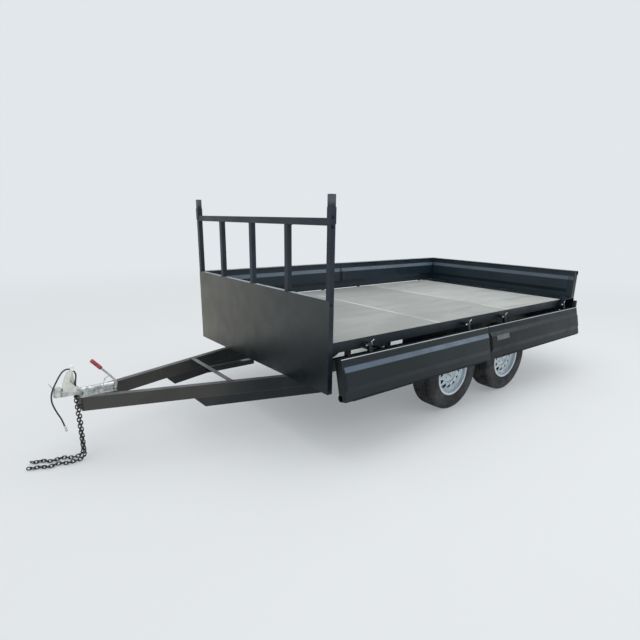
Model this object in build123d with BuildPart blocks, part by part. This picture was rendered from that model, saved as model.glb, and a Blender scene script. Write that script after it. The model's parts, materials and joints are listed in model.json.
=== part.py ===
"""Tandem flatbed trailer with drop sides, a tailgate and a headboard that carries a ladder rack.

Frame: +X forward, +Y to the trailer's left, +Z up, millimetres. The origin is the centre of the
tow ball in the coupling head. The trailer stands level on its four wheels, with its two left side
panels dropped and the other sides upright.
"""

import os
from math import atan2, cos, degrees, radians, sin, tan

from build123d import *

# ---------------------------------------------------------------- driving dimensions
# heights above the ground
coupling_height = 535
tyre_radius = 345
drawbar_top_height = 488
deck_height = 857
panel_bottom_height = 862
headboard_height = 1171
post_height = 1865
rack_height = 1716
hinge_height = 808

# lengths, measured back from the headboard's front face
ball_to_headboard = 1535
deck_length = 3425
sill_length = 272
sill_lap = 87
axle_spacing = 890
front_axle_back = 1515

# widths
deck_width = 2020
headboard_overhang = 40
panel_face_out = 5
hinge_out = 58
wheel_inset = 78
main_rail_inset = 370

# sections
rail_wide = 50
rail_deep = 100
rail_wall = 4
brace_deep = 75
frame_wide = 40
frame_deep = 80
beam_deep = 60
frame_wall = 3
post_size = 40
post_wall = 3
collar_wall = 3
collar_low = 1677
collar_length = 107
crossbar_deep = 50
rack_bar_shares = (-0.54, -0.005, 0.517)
deck_sheet = 3
sheet = 2.5
riser_size = 40
arch_plate = 3
arch_plate_start = 1580
sill_deep = 117
sill_wall = 5

# drop sides and tailgate
panel_height = 310
panel_thick = 70
panel_sheet = 2
panel_joint_gap = 6
panel_clearance = 6
tailgate_clearance = 10
splay = 13
field_rise = 15
field_low = 60
field_bevel = 40
field_end_bevel = 8
skirt_tall = 24
side_field_inset = 14
tailgate_field_inset = 60
roll_radius = 26
roll_out = 14
lip_wide = 14
lip_inset = 60
side_hinge_insets = [(331, 230), (362, 212)]
tailgate_hinge_out = 29
tailgate_hinges = [-800, 0, 800]
pin_radius = 6
pin_play = 0.3
knuckle_radius = 12
knuckle_length = 30
ear_thick = 6
ear_play = 0.5

# drawbar
drawbar_front_back = 132
drawbar_spread = 0.323
drawbar_width_at_headboard = 1070
drawbar_rear = 350
brace_front = 691
brace_rear = 350
crossbar_ahead = 415
spine_y = -55
spine_wide = 40
spine_deep = 45
spine_lap = 25
nose_thick = 6

# running gear
tyre_width = 225
tyre_sides = 40
rim_flange_radius = 207.5
rim_bead_radius = 191
rim_half = 101
axle_size = 50
spindle_radius = 18
hub_play = 0.3
backing_inset = 138
backing_radius = 112
backing_thick = 6
spindle_inset = 20
spring_wide = 60
spring_half = 400
leaf_thick = 9
leaf_count = 4
spring_sag = 56
seat_thick = 8
seat_long = 90
eye_radius = 15
bolt_radius = 8
bolt_play = 0.3

# ---------------------------------------------------------------- derived places
ground = -coupling_height
headboard_x = -ball_to_headboard
deck_top = ground + deck_height
drawbar_top = ground + drawbar_top_height
hinge_z = ground + hinge_height
axle_z = ground + tyre_radius
frame_x = headboard_x - sheet - post_size
deck_rear_x = frame_x - deck_length
sill_rear_x = deck_rear_x - sill_length
frame_top = deck_top - deck_sheet
frame_bottom = frame_top - frame_deep
beam_bottom = frame_top - beam_deep
half_deck = deck_width / 2
half_headboard = half_deck + headboard_overhang
headboard_width = 2 * half_headboard
sill_half = half_headboard
panel_face_y = half_deck + panel_face_out
hinge_y = half_deck + hinge_out
wheel_centre_y = half_deck - wheel_inset
main_rail_y = half_deck - main_rail_inset
backing_y = half_deck - backing_inset
spindle_end = half_deck - spindle_inset
panel_bottom = ground + panel_bottom_height
panel_outer_y = panel_face_y + panel_thick
side_hinge_in = panel_outer_y - hinge_y
hinge_drop = panel_bottom - hinge_z
axle_x = [headboard_x - front_axle_back, headboard_x - front_axle_back - axle_spacing]

os.makedirs("parts", exist_ok=True)


def along_x(x, y, z):
    """A plane facing forward, with its own x to the left and its own y up."""
    return Plane((x, y, z), x_dir=(0, 1, 0), z_dir=(1, 0, 0))


def along_y(x, y, z):
    """A plane facing left, with its own x rearward and its own y up."""
    return Plane((x, y, z), x_dir=(-1, 0, 0), z_dir=(0, 1, 0))


def save(part, name):
    part.label = name
    export_step(part, f"parts/{name}.step")


def box_tube(plane, width, depth, wall, length):
    """A rectangular hollow section running length along the plane's normal."""
    with BuildPart() as tube:
        with BuildSketch(plane):
            Rectangle(width, depth)
            Rectangle(width - 2 * wall, depth - 2 * wall, mode=Mode.SUBTRACT)
        extrude(amount=length)
    return tube.part


# ---------------------------------------------------------------- drawbar
drawbar_angle = degrees(atan2(drawbar_spread, 1))
drawbar_front_x = -drawbar_front_back


def drawbar_tube(side, front_x, rear_x, top_z, depth):
    """One slanted member of the A-frame, cut square to the trailer at both ends."""
    middle_x = (front_x + rear_x) / 2
    outer_y = drawbar_width_at_headboard / 2 - drawbar_spread * (middle_x - headboard_x)
    middle_y = side * (outer_y - rail_wide / 2 / cos(radians(drawbar_angle)))
    run = (front_x - rear_x) / cos(radians(drawbar_angle)) + 2 * rail_wide
    direction = Vector(1, -side * drawbar_spread, 0).normalized()
    start = Vector(middle_x, middle_y, top_z - depth / 2) - direction * (run / 2)
    with BuildPart() as member:
        with BuildSketch(Plane(start, x_dir=(direction.Y, -direction.X, 0), z_dir=direction)):
            Rectangle(rail_wide, depth)
            Rectangle(rail_wide - 2 * rail_wall, depth - 2 * rail_wall, mode=Mode.SUBTRACT)
        extrude(amount=run)
        split(bisect_by=Plane.YZ.offset(front_x), keep=Keep.BOTTOM)
        split(bisect_by=Plane.YZ.offset(rear_x), keep=Keep.TOP)
    return member.part


nose_half = drawbar_width_at_headboard / 2 - drawbar_spread * (drawbar_front_x - headboard_x)
nose_front_x = drawbar_front_x + nose_thick

brace_front_x = headboard_x + brace_front
brace_top = drawbar_top - rail_deep
for side, word in ((1, "left"), (-1, "right")):
    member = drawbar_tube(side, drawbar_front_x, headboard_x - drawbar_rear, drawbar_top, rail_deep)
    save(member, f"drawbar_{word}")
with BuildPart() as drawbar_braces:
    for side in (1, -1):
        add(drawbar_tube(side, brace_front_x, headboard_x - brace_rear, brace_top, brace_deep))
    mitre = Plane((brace_front_x, 0, brace_top), x_dir=(0, 1, 0), z_dir=(1, 0, -1))
    split(bisect_by=mitre, keep=Keep.BOTTOM)
save(drawbar_braces.part, "drawbar_braces")

crossbar_x = headboard_x + crossbar_ahead
crossbar_angle = 40
crossbar_wall = 4
crossbar_half = drawbar_width_at_headboard / 2 - drawbar_spread * crossbar_ahead - rail_wide / 2
with BuildPart() as drawbar_crossbar:
    with BuildSketch(along_y(crossbar_x, -crossbar_half, drawbar_top)):
        with Locations((0, crossbar_wall / 2)):
            Rectangle(crossbar_angle, crossbar_wall)
    extrude(amount=2 * crossbar_half)
    spine_place = along_x(headboard_x - spine_lap, spine_y, drawbar_top - spine_deep / 2)
    spine_long = crossbar_x - headboard_x + spine_lap
    add(box_tube(spine_place, spine_wide, spine_deep, frame_wall, spine_long))
save(drawbar_crossbar.part, "drawbar_crossbar")

# ---------------------------------------------------------------- chassis and deck frame
rail_length = frame_x - deck_rear_x
beam_count = 8
beam_pitch = (rail_length - frame_wide) / (beam_count - 1)
beam_xs = [frame_x - frame_wide / 2 - number * beam_pitch for number in range(beam_count)]
riser_height = beam_bottom - (drawbar_top + rail_deep)
with BuildPart() as main_rails:
    for side in (1, -1):
        place = along_x(deck_rear_x, side * main_rail_y, drawbar_top + rail_deep / 2)
        add(box_tube(place, rail_wide, rail_deep, rail_wall, rail_length))
        for x in beam_xs:
            foot = Plane((x, side * main_rail_y, drawbar_top + rail_deep))
            add(box_tube(foot, riser_size, riser_size, frame_wall, riser_height))
        plate_y = side * (main_rail_y + (riser_size + arch_plate) / 2)
        plate_middle = (headboard_x - arch_plate_start + deck_rear_x) / 2
        with BuildSketch(Plane((plate_middle, plate_y, drawbar_top + rail_deep))):
            Rectangle(headboard_x - arch_plate_start - deck_rear_x, arch_plate)
        extrude(amount=riser_height)
save(main_rails.part, "main_rails")

with BuildPart() as cross_members:
    for x in beam_xs:
        beam_place = along_y(x, -half_deck + frame_wide, beam_bottom + beam_deep / 2)
        add(box_tube(beam_place, frame_wide, beam_deep, frame_wall, deck_width - 2 * frame_wide))
save(cross_members.part, "cross_members")


def hinge_ears(face, out, positions):
    """Pairs of ears with a pin between them, standing out from a frame member.

    face lies on the member at the pins' height, its normal outwards and its own x along the
    member; out is how far the pins' axis stands from it.
    """
    reach = knuckle_length / 2 + ear_play
    with BuildPart() as ears:
        for position in positions:
            for start in (position - reach - ear_thick, position + reach):
                corner = face.from_local_coords(Vector(start, 0, 0))
                with BuildSketch(Plane(corner, x_dir=face.z_dir, z_dir=face.x_dir)):
                    with Locations((out / 2, 0)):
                        Rectangle(out, 2 * knuckle_radius)
                    with Locations((out, 0)):
                        Circle(knuckle_radius)
                extrude(amount=ear_thick)
            corner = face.from_local_coords(Vector(position - reach - ear_thick, 0, out))
            with BuildSketch(Plane(corner, x_dir=face.z_dir, z_dir=face.x_dir)):
                Circle(pin_radius)
            extrude(amount=2 * (reach + ear_thick))
    return ears.part


side_rear_x = sill_rear_x + sill_lap
panel_front_x = frame_x - panel_clearance
panel_joint_x = (panel_front_x + side_rear_x) / 2
panel_spans = [
    (panel_front_x, panel_joint_x + panel_joint_gap / 2),
    (panel_joint_x - panel_joint_gap / 2, side_rear_x),
]
hinge_xs = [
    [front_x - front_inset, rear_x + rear_inset]
    for (front_x, rear_x), (front_inset, rear_inset) in zip(panel_spans, side_hinge_insets)
]
for side, word in ((1, "left"), (-1, "right")):
    place = along_x(deck_rear_x, side * (half_deck - frame_wide / 2), frame_bottom + frame_deep / 2)
    face = Plane((0, side * half_deck, hinge_z), x_dir=(1, 0, 0), z_dir=(0, side, 0))
    with BuildPart() as side_rail:
        add(box_tube(place, frame_wide, frame_deep, frame_wall, rail_length))
        add(hinge_ears(face, hinge_y - half_deck, hinge_xs[0] + hinge_xs[1]))
    save(side_rail.part, f"side_rail_{word}")

tailgate_outer_x = side_rear_x - tailgate_clearance - panel_thick
tailgate_hinge_x = tailgate_outer_x - tailgate_hinge_out
with BuildPart() as rear_sill:
    middle = ((deck_rear_x + sill_rear_x) / 2, -sill_half, deck_top - sill_deep / 2)
    add(box_tube(along_y(*middle), sill_length, sill_deep, sill_wall, 2 * sill_half))
    face = Plane((sill_rear_x, 0, hinge_z), x_dir=(0, 1, 0), z_dir=(-1, 0, 0))
    add(hinge_ears(face, sill_rear_x - tailgate_hinge_x, tailgate_hinges))
save(rear_sill.part, "rear_sill")

# ---------------------------------------------------------------- deck sheets
deck_joints = [0, 1250, 2350, deck_length]
for name, start, end in zip(("front", "middle", "rear"), deck_joints, deck_joints[1:]):
    with BuildPart() as deck:
        with BuildSketch(Plane((frame_x - (start + end) / 2, 0, frame_top))):
            Rectangle(end - start, deck_width)
        extrude(amount=deck_sheet)
    save(deck.part, f"deck_{name}")

# ---------------------------------------------------------------- headboard and ladder rack
headboard_top = ground + headboard_height
post_top = ground + post_height
rack_top = ground + rack_height
post_x = headboard_x - sheet - post_size / 2
post_y = half_headboard - post_size / 2
inner_half = half_headboard - post_size

with BuildPart() as headboard_sheet:
    with BuildSketch(along_x(headboard_x - sheet, 0, (drawbar_top + headboard_top) / 2)):
        Rectangle(headboard_width, headboard_top - drawbar_top)
    extrude(amount=sheet)
save(headboard_sheet.part, "headboard_sheet")

with BuildPart() as headboard_rails:
    for z in (drawbar_top + post_size / 2, frame_bottom + frame_deep / 2, headboard_top - post_size / 2):
        add(box_tube(along_y(post_x, -inner_half, z), post_size, post_size, post_wall, 2 * inner_half))
save(headboard_rails.part, "headboard_rails")

collar_bottom = ground + collar_low
with BuildPart() as headboard_posts:
    for side in (1, -1):
        foot = Plane((post_x, side * post_y, drawbar_top))
        add(box_tube(foot, post_size, post_size, post_wall, post_top - drawbar_top))
        collar = Plane((post_x, side * (post_y + collar_wall / 2), collar_bottom))
        collar_wide = post_size + 2 * collar_wall
        collar_deep = post_size + collar_wall
        add(box_tube(collar, collar_wide, collar_deep, collar_wall, collar_length))
save(headboard_posts.part, "headboard_posts")

with BuildPart() as ladder_rack:
    place = along_y(post_x, -inner_half, rack_top - crossbar_deep / 2)
    add(box_tube(place, post_size, crossbar_deep, post_wall, 2 * inner_half))
    for share in rack_bar_shares:
        foot = Plane((post_x, share * inner_half, headboard_top))
        add(box_tube(foot, post_size, post_size, post_wall, rack_top - crossbar_deep - headboard_top))
save(ladder_rack.part, "ladder_rack")


# ---------------------------------------------------------------- drop sides and tailgate
def drop_panel(length, inset, hinge_in, hinges):
    """A pressed panel: its own x along the length, y from the outer side to the load, z up.

    hinge_in is how far its hinge line lies in from the outer face.
    """
    top = panel_height
    back = panel_thick - panel_sheet
    roll_middle = roll_radius - roll_out
    middle = Plane((length / 2, panel_thick, top / 2), x_dir=(1, 0, 0), z_dir=(0, 1, 0))
    with BuildPart() as panel:
        with BuildSketch(Plane.YZ):
            with Locations((back + panel_sheet / 2, top / 2)):
                Rectangle(panel_sheet, top)
            with Locations((panel_thick / 2, panel_sheet / 2)):
                Rectangle(panel_thick, panel_sheet)
            with Locations((panel_sheet / 2, skirt_tall / 2)):
                Rectangle(panel_sheet, skirt_tall)
            with Locations(((panel_thick + roll_middle) / 2, top - panel_sheet / 2)):
                Rectangle(panel_thick - roll_middle, panel_sheet)
            with Locations((roll_middle, top - roll_radius)):
                Circle(roll_radius)
                Circle(roll_radius - panel_sheet, mode=Mode.SUBTRACT)
        extrude(amount=length)
        for x in (0, length - panel_sheet):
            with BuildSketch(Plane.YZ.offset(x)):
                with Locations((panel_thick / 2, top / 2)):
                    Rectangle(panel_thick, top)
                with Locations((roll_middle, top - roll_radius)):
                    Circle(roll_radius - panel_sheet, mode=Mode.SUBTRACT)
            extrude(amount=panel_sheet)
        wide = length - 2 * inset
        tall = top - 2 * field_low
        for shift, mode in ((0, Mode.ADD), (-panel_sheet, Mode.SUBTRACT)):
            with BuildSketch(middle.offset(shift)):
                Rectangle(wide, tall)
            with BuildSketch(middle.offset(shift + field_rise)):
                Rectangle(wide - 2 * field_end_bevel, tall - 2 * field_bevel)
            loft(mode=mode)
        with BuildSketch(Plane.YZ.offset(lip_inset)):
            with Locations((panel_thick + lip_wide / 2, top - panel_sheet / 2)):
                Rectangle(lip_wide, panel_sheet)
        extrude(amount=length - 2 * lip_inset)
        for x in hinges:
            with BuildSketch(Plane.YZ.offset(x - knuckle_length / 2)):
                with Locations((hinge_in, -hinge_drop / 2)):
                    Rectangle(2 * knuckle_radius, hinge_drop)
                if hinge_in < 0:
                    with Locations((hinge_in / 2 - knuckle_radius / 2, knuckle_radius)):
                        Rectangle(knuckle_radius - hinge_in, 2 * knuckle_radius)
                with Locations((hinge_in, -hinge_drop)):
                    Circle(knuckle_radius)
                    Circle(pin_radius + pin_play, mode=Mode.SUBTRACT)
            extrude(amount=knuckle_length)
    return panel.part


hinge_line = Axis((0, hinge_y, hinge_z), (1, 0, 0))
for name, (front_x, rear_x), hinges in zip(("front", "rear"), panel_spans, hinge_xs):
    length = front_x - rear_x
    left = drop_panel(length, side_field_inset, side_hinge_in, [front_x - x for x in hinges])
    hung = Location((front_x, panel_outer_y, panel_bottom), (0, 0, 180))
    save(left.moved(hung).rotate(hinge_line, splay - 180), f"side_{name}_left")
    right = drop_panel(length, side_field_inset, side_hinge_in, [x - rear_x for x in hinges])
    save(right.moved(Location((rear_x, -panel_outer_y, panel_bottom))), f"side_{name}_right")

plate_inset = 100
plate_long = 210
plate_tall = 46
plate_corner = (plate_inset, panel_thick + field_rise, field_low + field_bevel)
with BuildPart() as blank_plate:
    with BuildSketch(Plane(plate_corner, x_dir=(1, 0, 0), z_dir=(0, -1, 0))):
        Rectangle(plate_long, plate_tall, align=Align.MIN)
    extrude(amount=-panel_sheet)
save(blank_plate.part.moved(hung).rotate(hinge_line, splay - 180), "blank_plate")

tailgate_knuckles = [sill_half + y for y in tailgate_hinges]
tailgate = drop_panel(2 * sill_half, tailgate_field_inset, -tailgate_hinge_out, tailgate_knuckles)
tailgate_place = Location((tailgate_outer_x, sill_half, panel_bottom), (0, 0, -90))
save(tailgate.moved(tailgate_place), "tailgate")

# ---------------------------------------------------------------- running gear
for word, x in zip(("front", "rear"), axle_x):
    with BuildPart() as axle:
        with BuildSketch(along_y(x, -backing_y, axle_z)):
            Rectangle(axle_size, axle_size)
        extrude(amount=2 * backing_y)
        for side in (1, -1):
            disc = Plane((x, side * backing_y, axle_z), x_dir=(1, 0, 0), z_dir=(0, side, 0))
            with BuildSketch(disc):
                Circle(backing_radius)
            extrude(amount=backing_thick)
            with BuildSketch(disc):
                Circle(spindle_radius)
            extrude(amount=spindle_end - backing_y)
    save(axle.part, f"axle_{word}")

bead = rim_bead_radius
flange = rim_flange_radius
wide = tyre_width / 2
tyre_side = rim_half - 6
tread_half = wide - 28
tyre_outside = [(wide, 262), (wide - 7, 316), (tread_half, tyre_radius)]
rim_outside = [(flange, rim_half - 5), (bead, rim_half - 5), (bead - 2, 70), (bead - 18, 52)]
rim_inside = [(flange, rim_half), (bead - 4, rim_half), (bead - 6, 68), (bead - 22, 50)]


def mirrored(points):
    return [(r, -y) for r, y in reversed(points)]


def wheel_ring(x, side, outline):
    """A closed outline of radius and outward distance from the wheel's centre, turned about its axle."""
    across = Plane((x, side * wheel_centre_y, axle_z), x_dir=(0, 0, 1), z_dir=(side, 0, 0))
    with BuildPart() as ring:
        with BuildSketch(across):
            with BuildLine():
                Polyline(*[(r, -y) for r, y in outline], close=True)
            make_face()
        revolve(axis=Axis((x, 0, axle_z), (0, 1, 0)))
    return ring.part


def frustum(middle, start, start_radius, end, end_radius):
    """A many-sided cone between two offsets from a plane, with one of its facets level below."""
    with BuildPart() as cone:
        for offset, radius in ((start, start_radius), (end, end_radius)):
            with BuildSketch(middle.offset(offset)):
                RegularPolygon(radius, tyre_sides, major_radius=False, rotation=180 / tyre_sides)
        loft(ruled=True)
    return cone.part


def tyre(x, side):
    """A tyre of flat facets, with the recess for the rim's flange in each side."""
    middle = along_y(x, side * wheel_centre_y, axle_z)
    outside = tyre_outside + [(-y, r) for y, r in reversed(tyre_outside)]
    with BuildPart() as ring:
        for (start, start_radius), (end, end_radius) in zip(outside, outside[1:]):
            add(frustum(middle, start, start_radius, end, end_radius))
        add(frustum(middle, -tyre_side, bead + 0.5, tyre_side, bead + 0.5), mode=Mode.SUBTRACT)
        for way in (1, -1):
            recess = frustum(middle, way * tyre_side, flange + 2, way * wide, tyre_outside[0][1] - 1)
            add(recess, mode=Mode.SUBTRACT)
    return ring.part


window_count = 12
window_inner = 108
window_outer = 142
window_half = 17
disc_outline = [
    (spindle_radius + hub_play, -43), (spindle_radius + hub_play, 61), (0, 61), (0, 78), (26, 78),
    (30, 74), (30, 52), (88, 52), (98, 66), (118, 70), (146, 58), (bead - 22, 50),
    (bead - 22, 46), (144, 54), (116, 66), (104, 62), (104, -43), (98, -43), (98, 48),
    (34, 48), (34, -43),
]
for word, x in zip(("front", "rear"), axle_x):
    for side, side_word in ((1, "left"), (-1, "right")):
        save(tyre(x, side), f"tyre_{word}_{side_word}")
        barrel = rim_outside + mirrored(rim_outside) + list(reversed(mirrored(rim_inside)))
        barrel += list(reversed(rim_inside))
        with BuildPart() as rim:
            add(wheel_ring(x, side, barrel))
            add(wheel_ring(x, side, disc_outline))
            with BuildSketch(along_y(x, side * wheel_centre_y, axle_z)):
                with PolarLocations(0, window_count):
                    Polygon(
                        (window_inner, 0),
                        (window_outer, -window_half),
                        (window_outer, window_half),
                        align=None,
                    )
            extrude(amount=side * rim_half, mode=Mode.SUBTRACT)
        save(rim.part, f"rim_{word}_{side_word}")

axle_top = axle_z + axle_size / 2
eye_z = axle_top + seat_thick + leaf_count * leaf_thick + spring_sag - leaf_thick / 2
spring_y = main_rail_y
with BuildPart() as springs:
    for x in axle_x:
        for side in (1, -1):
            y = side * spring_y - spring_wide / 2
            for leaf in range(leaf_count):
                half = spring_half * (1 - 0.2 * leaf)
                rise = spring_sag * (half / spring_half) ** 2
                top = rise + leaf_thick
                low = axle_top + seat_thick + (leaf_count - 1 - leaf) * leaf_thick
                with BuildSketch(along_y(x, y, low)):
                    with BuildLine():
                        ThreePointArc((-half, rise), (0, 0), (half, rise))
                        Line((half, rise), (half, top))
                        ThreePointArc((half, top), (0, leaf_thick), (-half, top))
                        Line((-half, top), (-half, rise))
                    make_face()
                extrude(amount=spring_wide)
            for end in (-spring_half, spring_half):
                with BuildSketch(along_y(x + end, y, eye_z)):
                    Circle(eye_radius)
                extrude(amount=spring_wide)
                with BuildSketch(along_y(x + end, y, eye_z)):
                    Circle(bolt_radius + bolt_play)
                extrude(amount=spring_wide, mode=Mode.SUBTRACT)
            with BuildSketch(Plane((x, side * spring_y, axle_top))):
                Rectangle(seat_long, spring_wide)
            extrude(amount=seat_thick)
save(springs.part, "leaf_springs")

hanger_thick = 6
hanger_wide = 50
hanger_play = 1
hanger_below_eye = 22
hanger_low = eye_z - hanger_below_eye
bolt_half = spring_wide / 2 + 12
double_hanger_wide = axle_spacing - 2 * spring_half + hanger_wide
front_eye, rear_eye = axle_x[0] + spring_half, axle_x[1] - spring_half
middle_eyes = (axle_x[0] - spring_half, axle_x[1] + spring_half)
hanger_sets = [
    (front_eye, hanger_wide, (front_eye,)),
    ((axle_x[0] + axle_x[1]) / 2, double_hanger_wide, middle_eyes),
    (rear_eye, hanger_wide, (rear_eye,)),
]
with BuildPart() as hangers:
    for x, across, eyes in hanger_sets:
        for side in (1, -1):
            cheek_out = spring_wide / 2 + hanger_play
            for shift in (-cheek_out - hanger_thick, cheek_out):
                with BuildSketch(along_y(x, side * spring_y + shift, (hanger_low + drawbar_top) / 2)):
                    Rectangle(across, drawbar_top - hanger_low)
                extrude(amount=hanger_thick)
            for eye_x in eyes:
                with BuildSketch(along_y(eye_x, side * spring_y - bolt_half, eye_z)):
                    Circle(bolt_radius)
                extrude(amount=2 * bolt_half)
            with BuildSketch(Plane((x, side * spring_y, drawbar_top - hanger_thick))):
                Rectangle(across, 2 * (cheek_out + hanger_thick))
            extrude(amount=hanger_thick)
save(hangers.part, "spring_hangers")

# ---------------------------------------------------------------- coupling and handbrake
plate_front = -125
plate_rear = -365
plate_wide = 170
plate_deep = 6
plate_top = drawbar_top + plate_deep
housing_front = -145
tube_radius = 22
tube_sunk = 1
tube_z = plate_top + tube_radius - tube_sunk
saddle_long = 26
saddle_xs = (-165, -335)
cheek_y = 28
cheek_thick = 5
cheek_tall = 32
cheek_front = -155
cheek_rear = -374
quadrant_wide = 7
quadrant_bend = 14
pivot_x = -363
pivot_z = plate_top + 13
pivot_radius = 6
pivot_play = 0.3
with BuildPart() as coupling_housing:
    with BuildSketch(Plane(((plate_front + plate_rear) / 2, 0, drawbar_top))):
        Rectangle(plate_front - plate_rear, plate_wide)
    extrude(amount=plate_deep)
    with BuildSketch(along_x(plate_rear, 0, tube_z)):
        Circle(tube_radius)
    extrude(amount=housing_front - plate_rear)
    for x in saddle_xs:
        with BuildSketch(Plane((x, 0, plate_top))):
            Rectangle(saddle_long, 2 * cheek_y)
        extrude(amount=tube_radius)
    for side in (1, -1):
        cheek_middle = ((cheek_front + cheek_rear) / 2, side * (cheek_y + cheek_thick / 2), plate_top)
        with BuildSketch(Plane(cheek_middle)):
            Rectangle(cheek_front - cheek_rear, cheek_thick)
        extrude(amount=cheek_tall)
    with BuildSketch(along_y(0, cheek_y, 0)):
        with BuildLine():
            FilletPolyline((338, 63), (304, 46), (291, 16), (287, -22), radius=quadrant_bend)
        trace(line_width=quadrant_wide)
    extrude(amount=cheek_thick)
    with BuildSketch(along_y(pivot_x, -2 * cheek_y, pivot_z)):
        Circle(pivot_radius + pivot_play)
    extrude(amount=4 * cheek_y, mode=Mode.SUBTRACT)
save(coupling_housing.part, "coupling_housing")

ball_radius = 25.4
head_radius = 30
head_low = -34
head_shoulder = 16
head_high = 30
head_taper = 32
shank_half = 17
cable_exit = (-117, -6)
boss_radius = 7
boss_tall = 6
lock_pin_foot = (24, -8, 24)
lock_pin_way = (16, 0, 34)
lock_pin_radius = 2.5
lock_pin_length = 44
with BuildPart() as coupling_head:
    with BuildSketch(Plane((0, 0, head_low))):
        Circle(head_radius)
    extrude(amount=head_shoulder - head_low)
    with BuildSketch(Plane((0, 0, head_shoulder))):
        Circle(head_radius)
    extrude(amount=head_high - head_shoulder, taper=head_taper)
    with BuildSketch(along_x(housing_front, 0, plate_top / 2)):
        Rectangle(2 * shank_half, -plate_top)
    extrude(amount=-housing_front)
    with BuildSketch(Plane((cable_exit[0], cable_exit[1], 0))):
        Circle(boss_radius)
    extrude(amount=boss_tall)
    Sphere(ball_radius, mode=Mode.SUBTRACT)
    with BuildSketch(Plane((0, 0, plate_top))):
        Circle(ball_radius)
    extrude(amount=-plate_top, mode=Mode.SUBTRACT)
    with BuildSketch(Plane(lock_pin_foot, x_dir=(0, 1, 0), z_dir=lock_pin_way)):
        Circle(lock_pin_radius)
    extrude(amount=lock_pin_length)
save(coupling_head.part, "coupling_head")

lever_wall = 3
lever_top = 132
lever_front = [(47, 70), (75, 122), (101, lever_top)]
lever_foot = [(144, -4), (115, -19)]
near_plate = [(28, -5)] + lever_front + [(80, 63), (113, 23)] + lever_foot
far_plate = [(28, -5)] + lever_front + [(112, 128), (119, 18)] + lever_foot
web = [(34.3, 20)] + lever_front + [(112, 128), (111, 122), (77.5, 118), (51, 69), (38.5, 20)]
with BuildPart() as coupling_lever:
    for start, outline, width in (
        (shank_half, near_plate, lever_wall),
        (-shank_half - lever_wall, far_plate, lever_wall),
        (-shank_half, web, 2 * shank_half),
    ):
        with BuildSketch(along_y(0, start, 0)):
            Polygon(*outline, align=None)
        extrude(amount=width)
save(coupling_lever.part, "coupling_lever")

knob_x = -107
knob_radius = 11
knob_tall = 40
knob_rounding = 8
with BuildPart() as lever_knob:
    with BuildSketch(Plane((knob_x, 0, lever_top))):
        Circle(knob_radius)
    extrude(amount=knob_tall)
    fillet(lever_knob.faces().sort_by(Axis.Z)[-1].edges(), radius=knob_rounding)
save(lever_knob.part, "lever_knob")

lever_y = 38
lever_across = 12
lever_wide = 15
lever_rounding = 18
lever_boss_radius = 12
pivot_near_y = lever_y + lever_across + 4
pivot_far_y = -cheek_y - cheek_thick - 6
grip_length = 91
grip_radius = 14.5
lever_end = Vector(-283, 0, 129)
lever_bend = Vector(-330, 0, 73)
grip_way = (lever_end - lever_bend).normalized()
with BuildPart() as handbrake_lever:
    with BuildSketch(along_y(0, lever_y, 0)):
        with BuildLine():
            FilletPolyline(
                (-lever_end.X, lever_end.Z), (-lever_bend.X, lever_bend.Z), (366, 24), (373, -2),
                (-pivot_x, pivot_z), radius=lever_rounding,
            )
        trace(line_width=lever_wide)
    extrude(amount=lever_across)
    with BuildSketch(along_y(pivot_x, lever_y, pivot_z)):
        Circle(lever_boss_radius)
    extrude(amount=lever_across)
    with BuildSketch(along_y(pivot_x, pivot_far_y, pivot_z)):
        Circle(pivot_radius)
    extrude(amount=pivot_near_y - pivot_far_y)
save(handbrake_lever.part, "handbrake_lever")

with BuildPart() as handbrake_grip:
    end = lever_end + Vector(0, lever_y + lever_across / 2, 0)
    with BuildSketch(Plane(end, x_dir=(0, 1, 0), z_dir=grip_way)):
        Circle(grip_radius)
    extrude(amount=grip_length)
save(handbrake_grip.part, "handbrake_grip")

# ---------------------------------------------------------------- free cable over the coupling lever
cable_diameter = 10.5
cable_points = [
    (*cable_exit, boss_tall), (*cable_exit, 36), (-125, -10, 68), (-131, -16, 101),
    (-116, -20.5, 131), (-86, -21, 145), (-55, -17, 137), (-29, -8, 110), (-3, 5, 74), (24, 20, 35),
    (42, 27, -8), (45, 27, -58), (33, 22, -107), (17, 16, -155), (-2, 12, -202), (-12, 10, -251),
]
cable_path = [Vector(*point) for point in cable_points]
cable_radii = []
for before, here, after in zip(cable_path, cable_path[1:], cable_path[2:]):
    half_turn = radians((here - before).get_angle(after - here)) / 2
    cable_radii.append(0.45 * min((here - before).length, (after - here).length) / tan(half_turn))
print("cable bend radii", [round(radius) for radius in cable_radii])
with BuildPart() as breakaway_cable:
    with BuildLine():
        cable_line = FilletPolyline(*cable_points, radius=cable_radii)
    with BuildSketch(Plane(cable_path[0], z_dir=cable_path[1] - cable_path[0])):
        Circle(cable_diameter / 2)
    sweep()
print("cable length", round(cable_line.length), "volume", round(breakaway_cable.part.volume))
save(breakaway_cable.part, "breakaway_cable")

ferrule_length = 16
clip_long = 34
clip_wide = 18
clip_wire = 4
clip_flat = 1
clip_round = (clip_wide - clip_flat) / 2
ferrule_wall = 1
cable_end = cable_path[-1]
cable_way = (cable_path[-1] - cable_path[-2]).normalized()
with BuildPart() as cable_clip:
    with BuildSketch(Plane(cable_end, z_dir=cable_way)):
        Circle(cable_diameter / 2 + ferrule_wall)
    extrude(amount=ferrule_length)
    middle = cable_end + cable_way * (ferrule_length + clip_long / 2 - 1)
    with BuildSketch(Plane(middle, x_dir=cable_way, z_dir=cable_way.cross(Vector(1, 1, 0)))):
        RectangleRounded(clip_long, clip_wide, clip_round)
        offset(amount=-clip_wire, mode=Mode.SUBTRACT)
    extrude(amount=clip_wire / 2, both=True)
save(cable_clip.part, "cable_clip")

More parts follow.
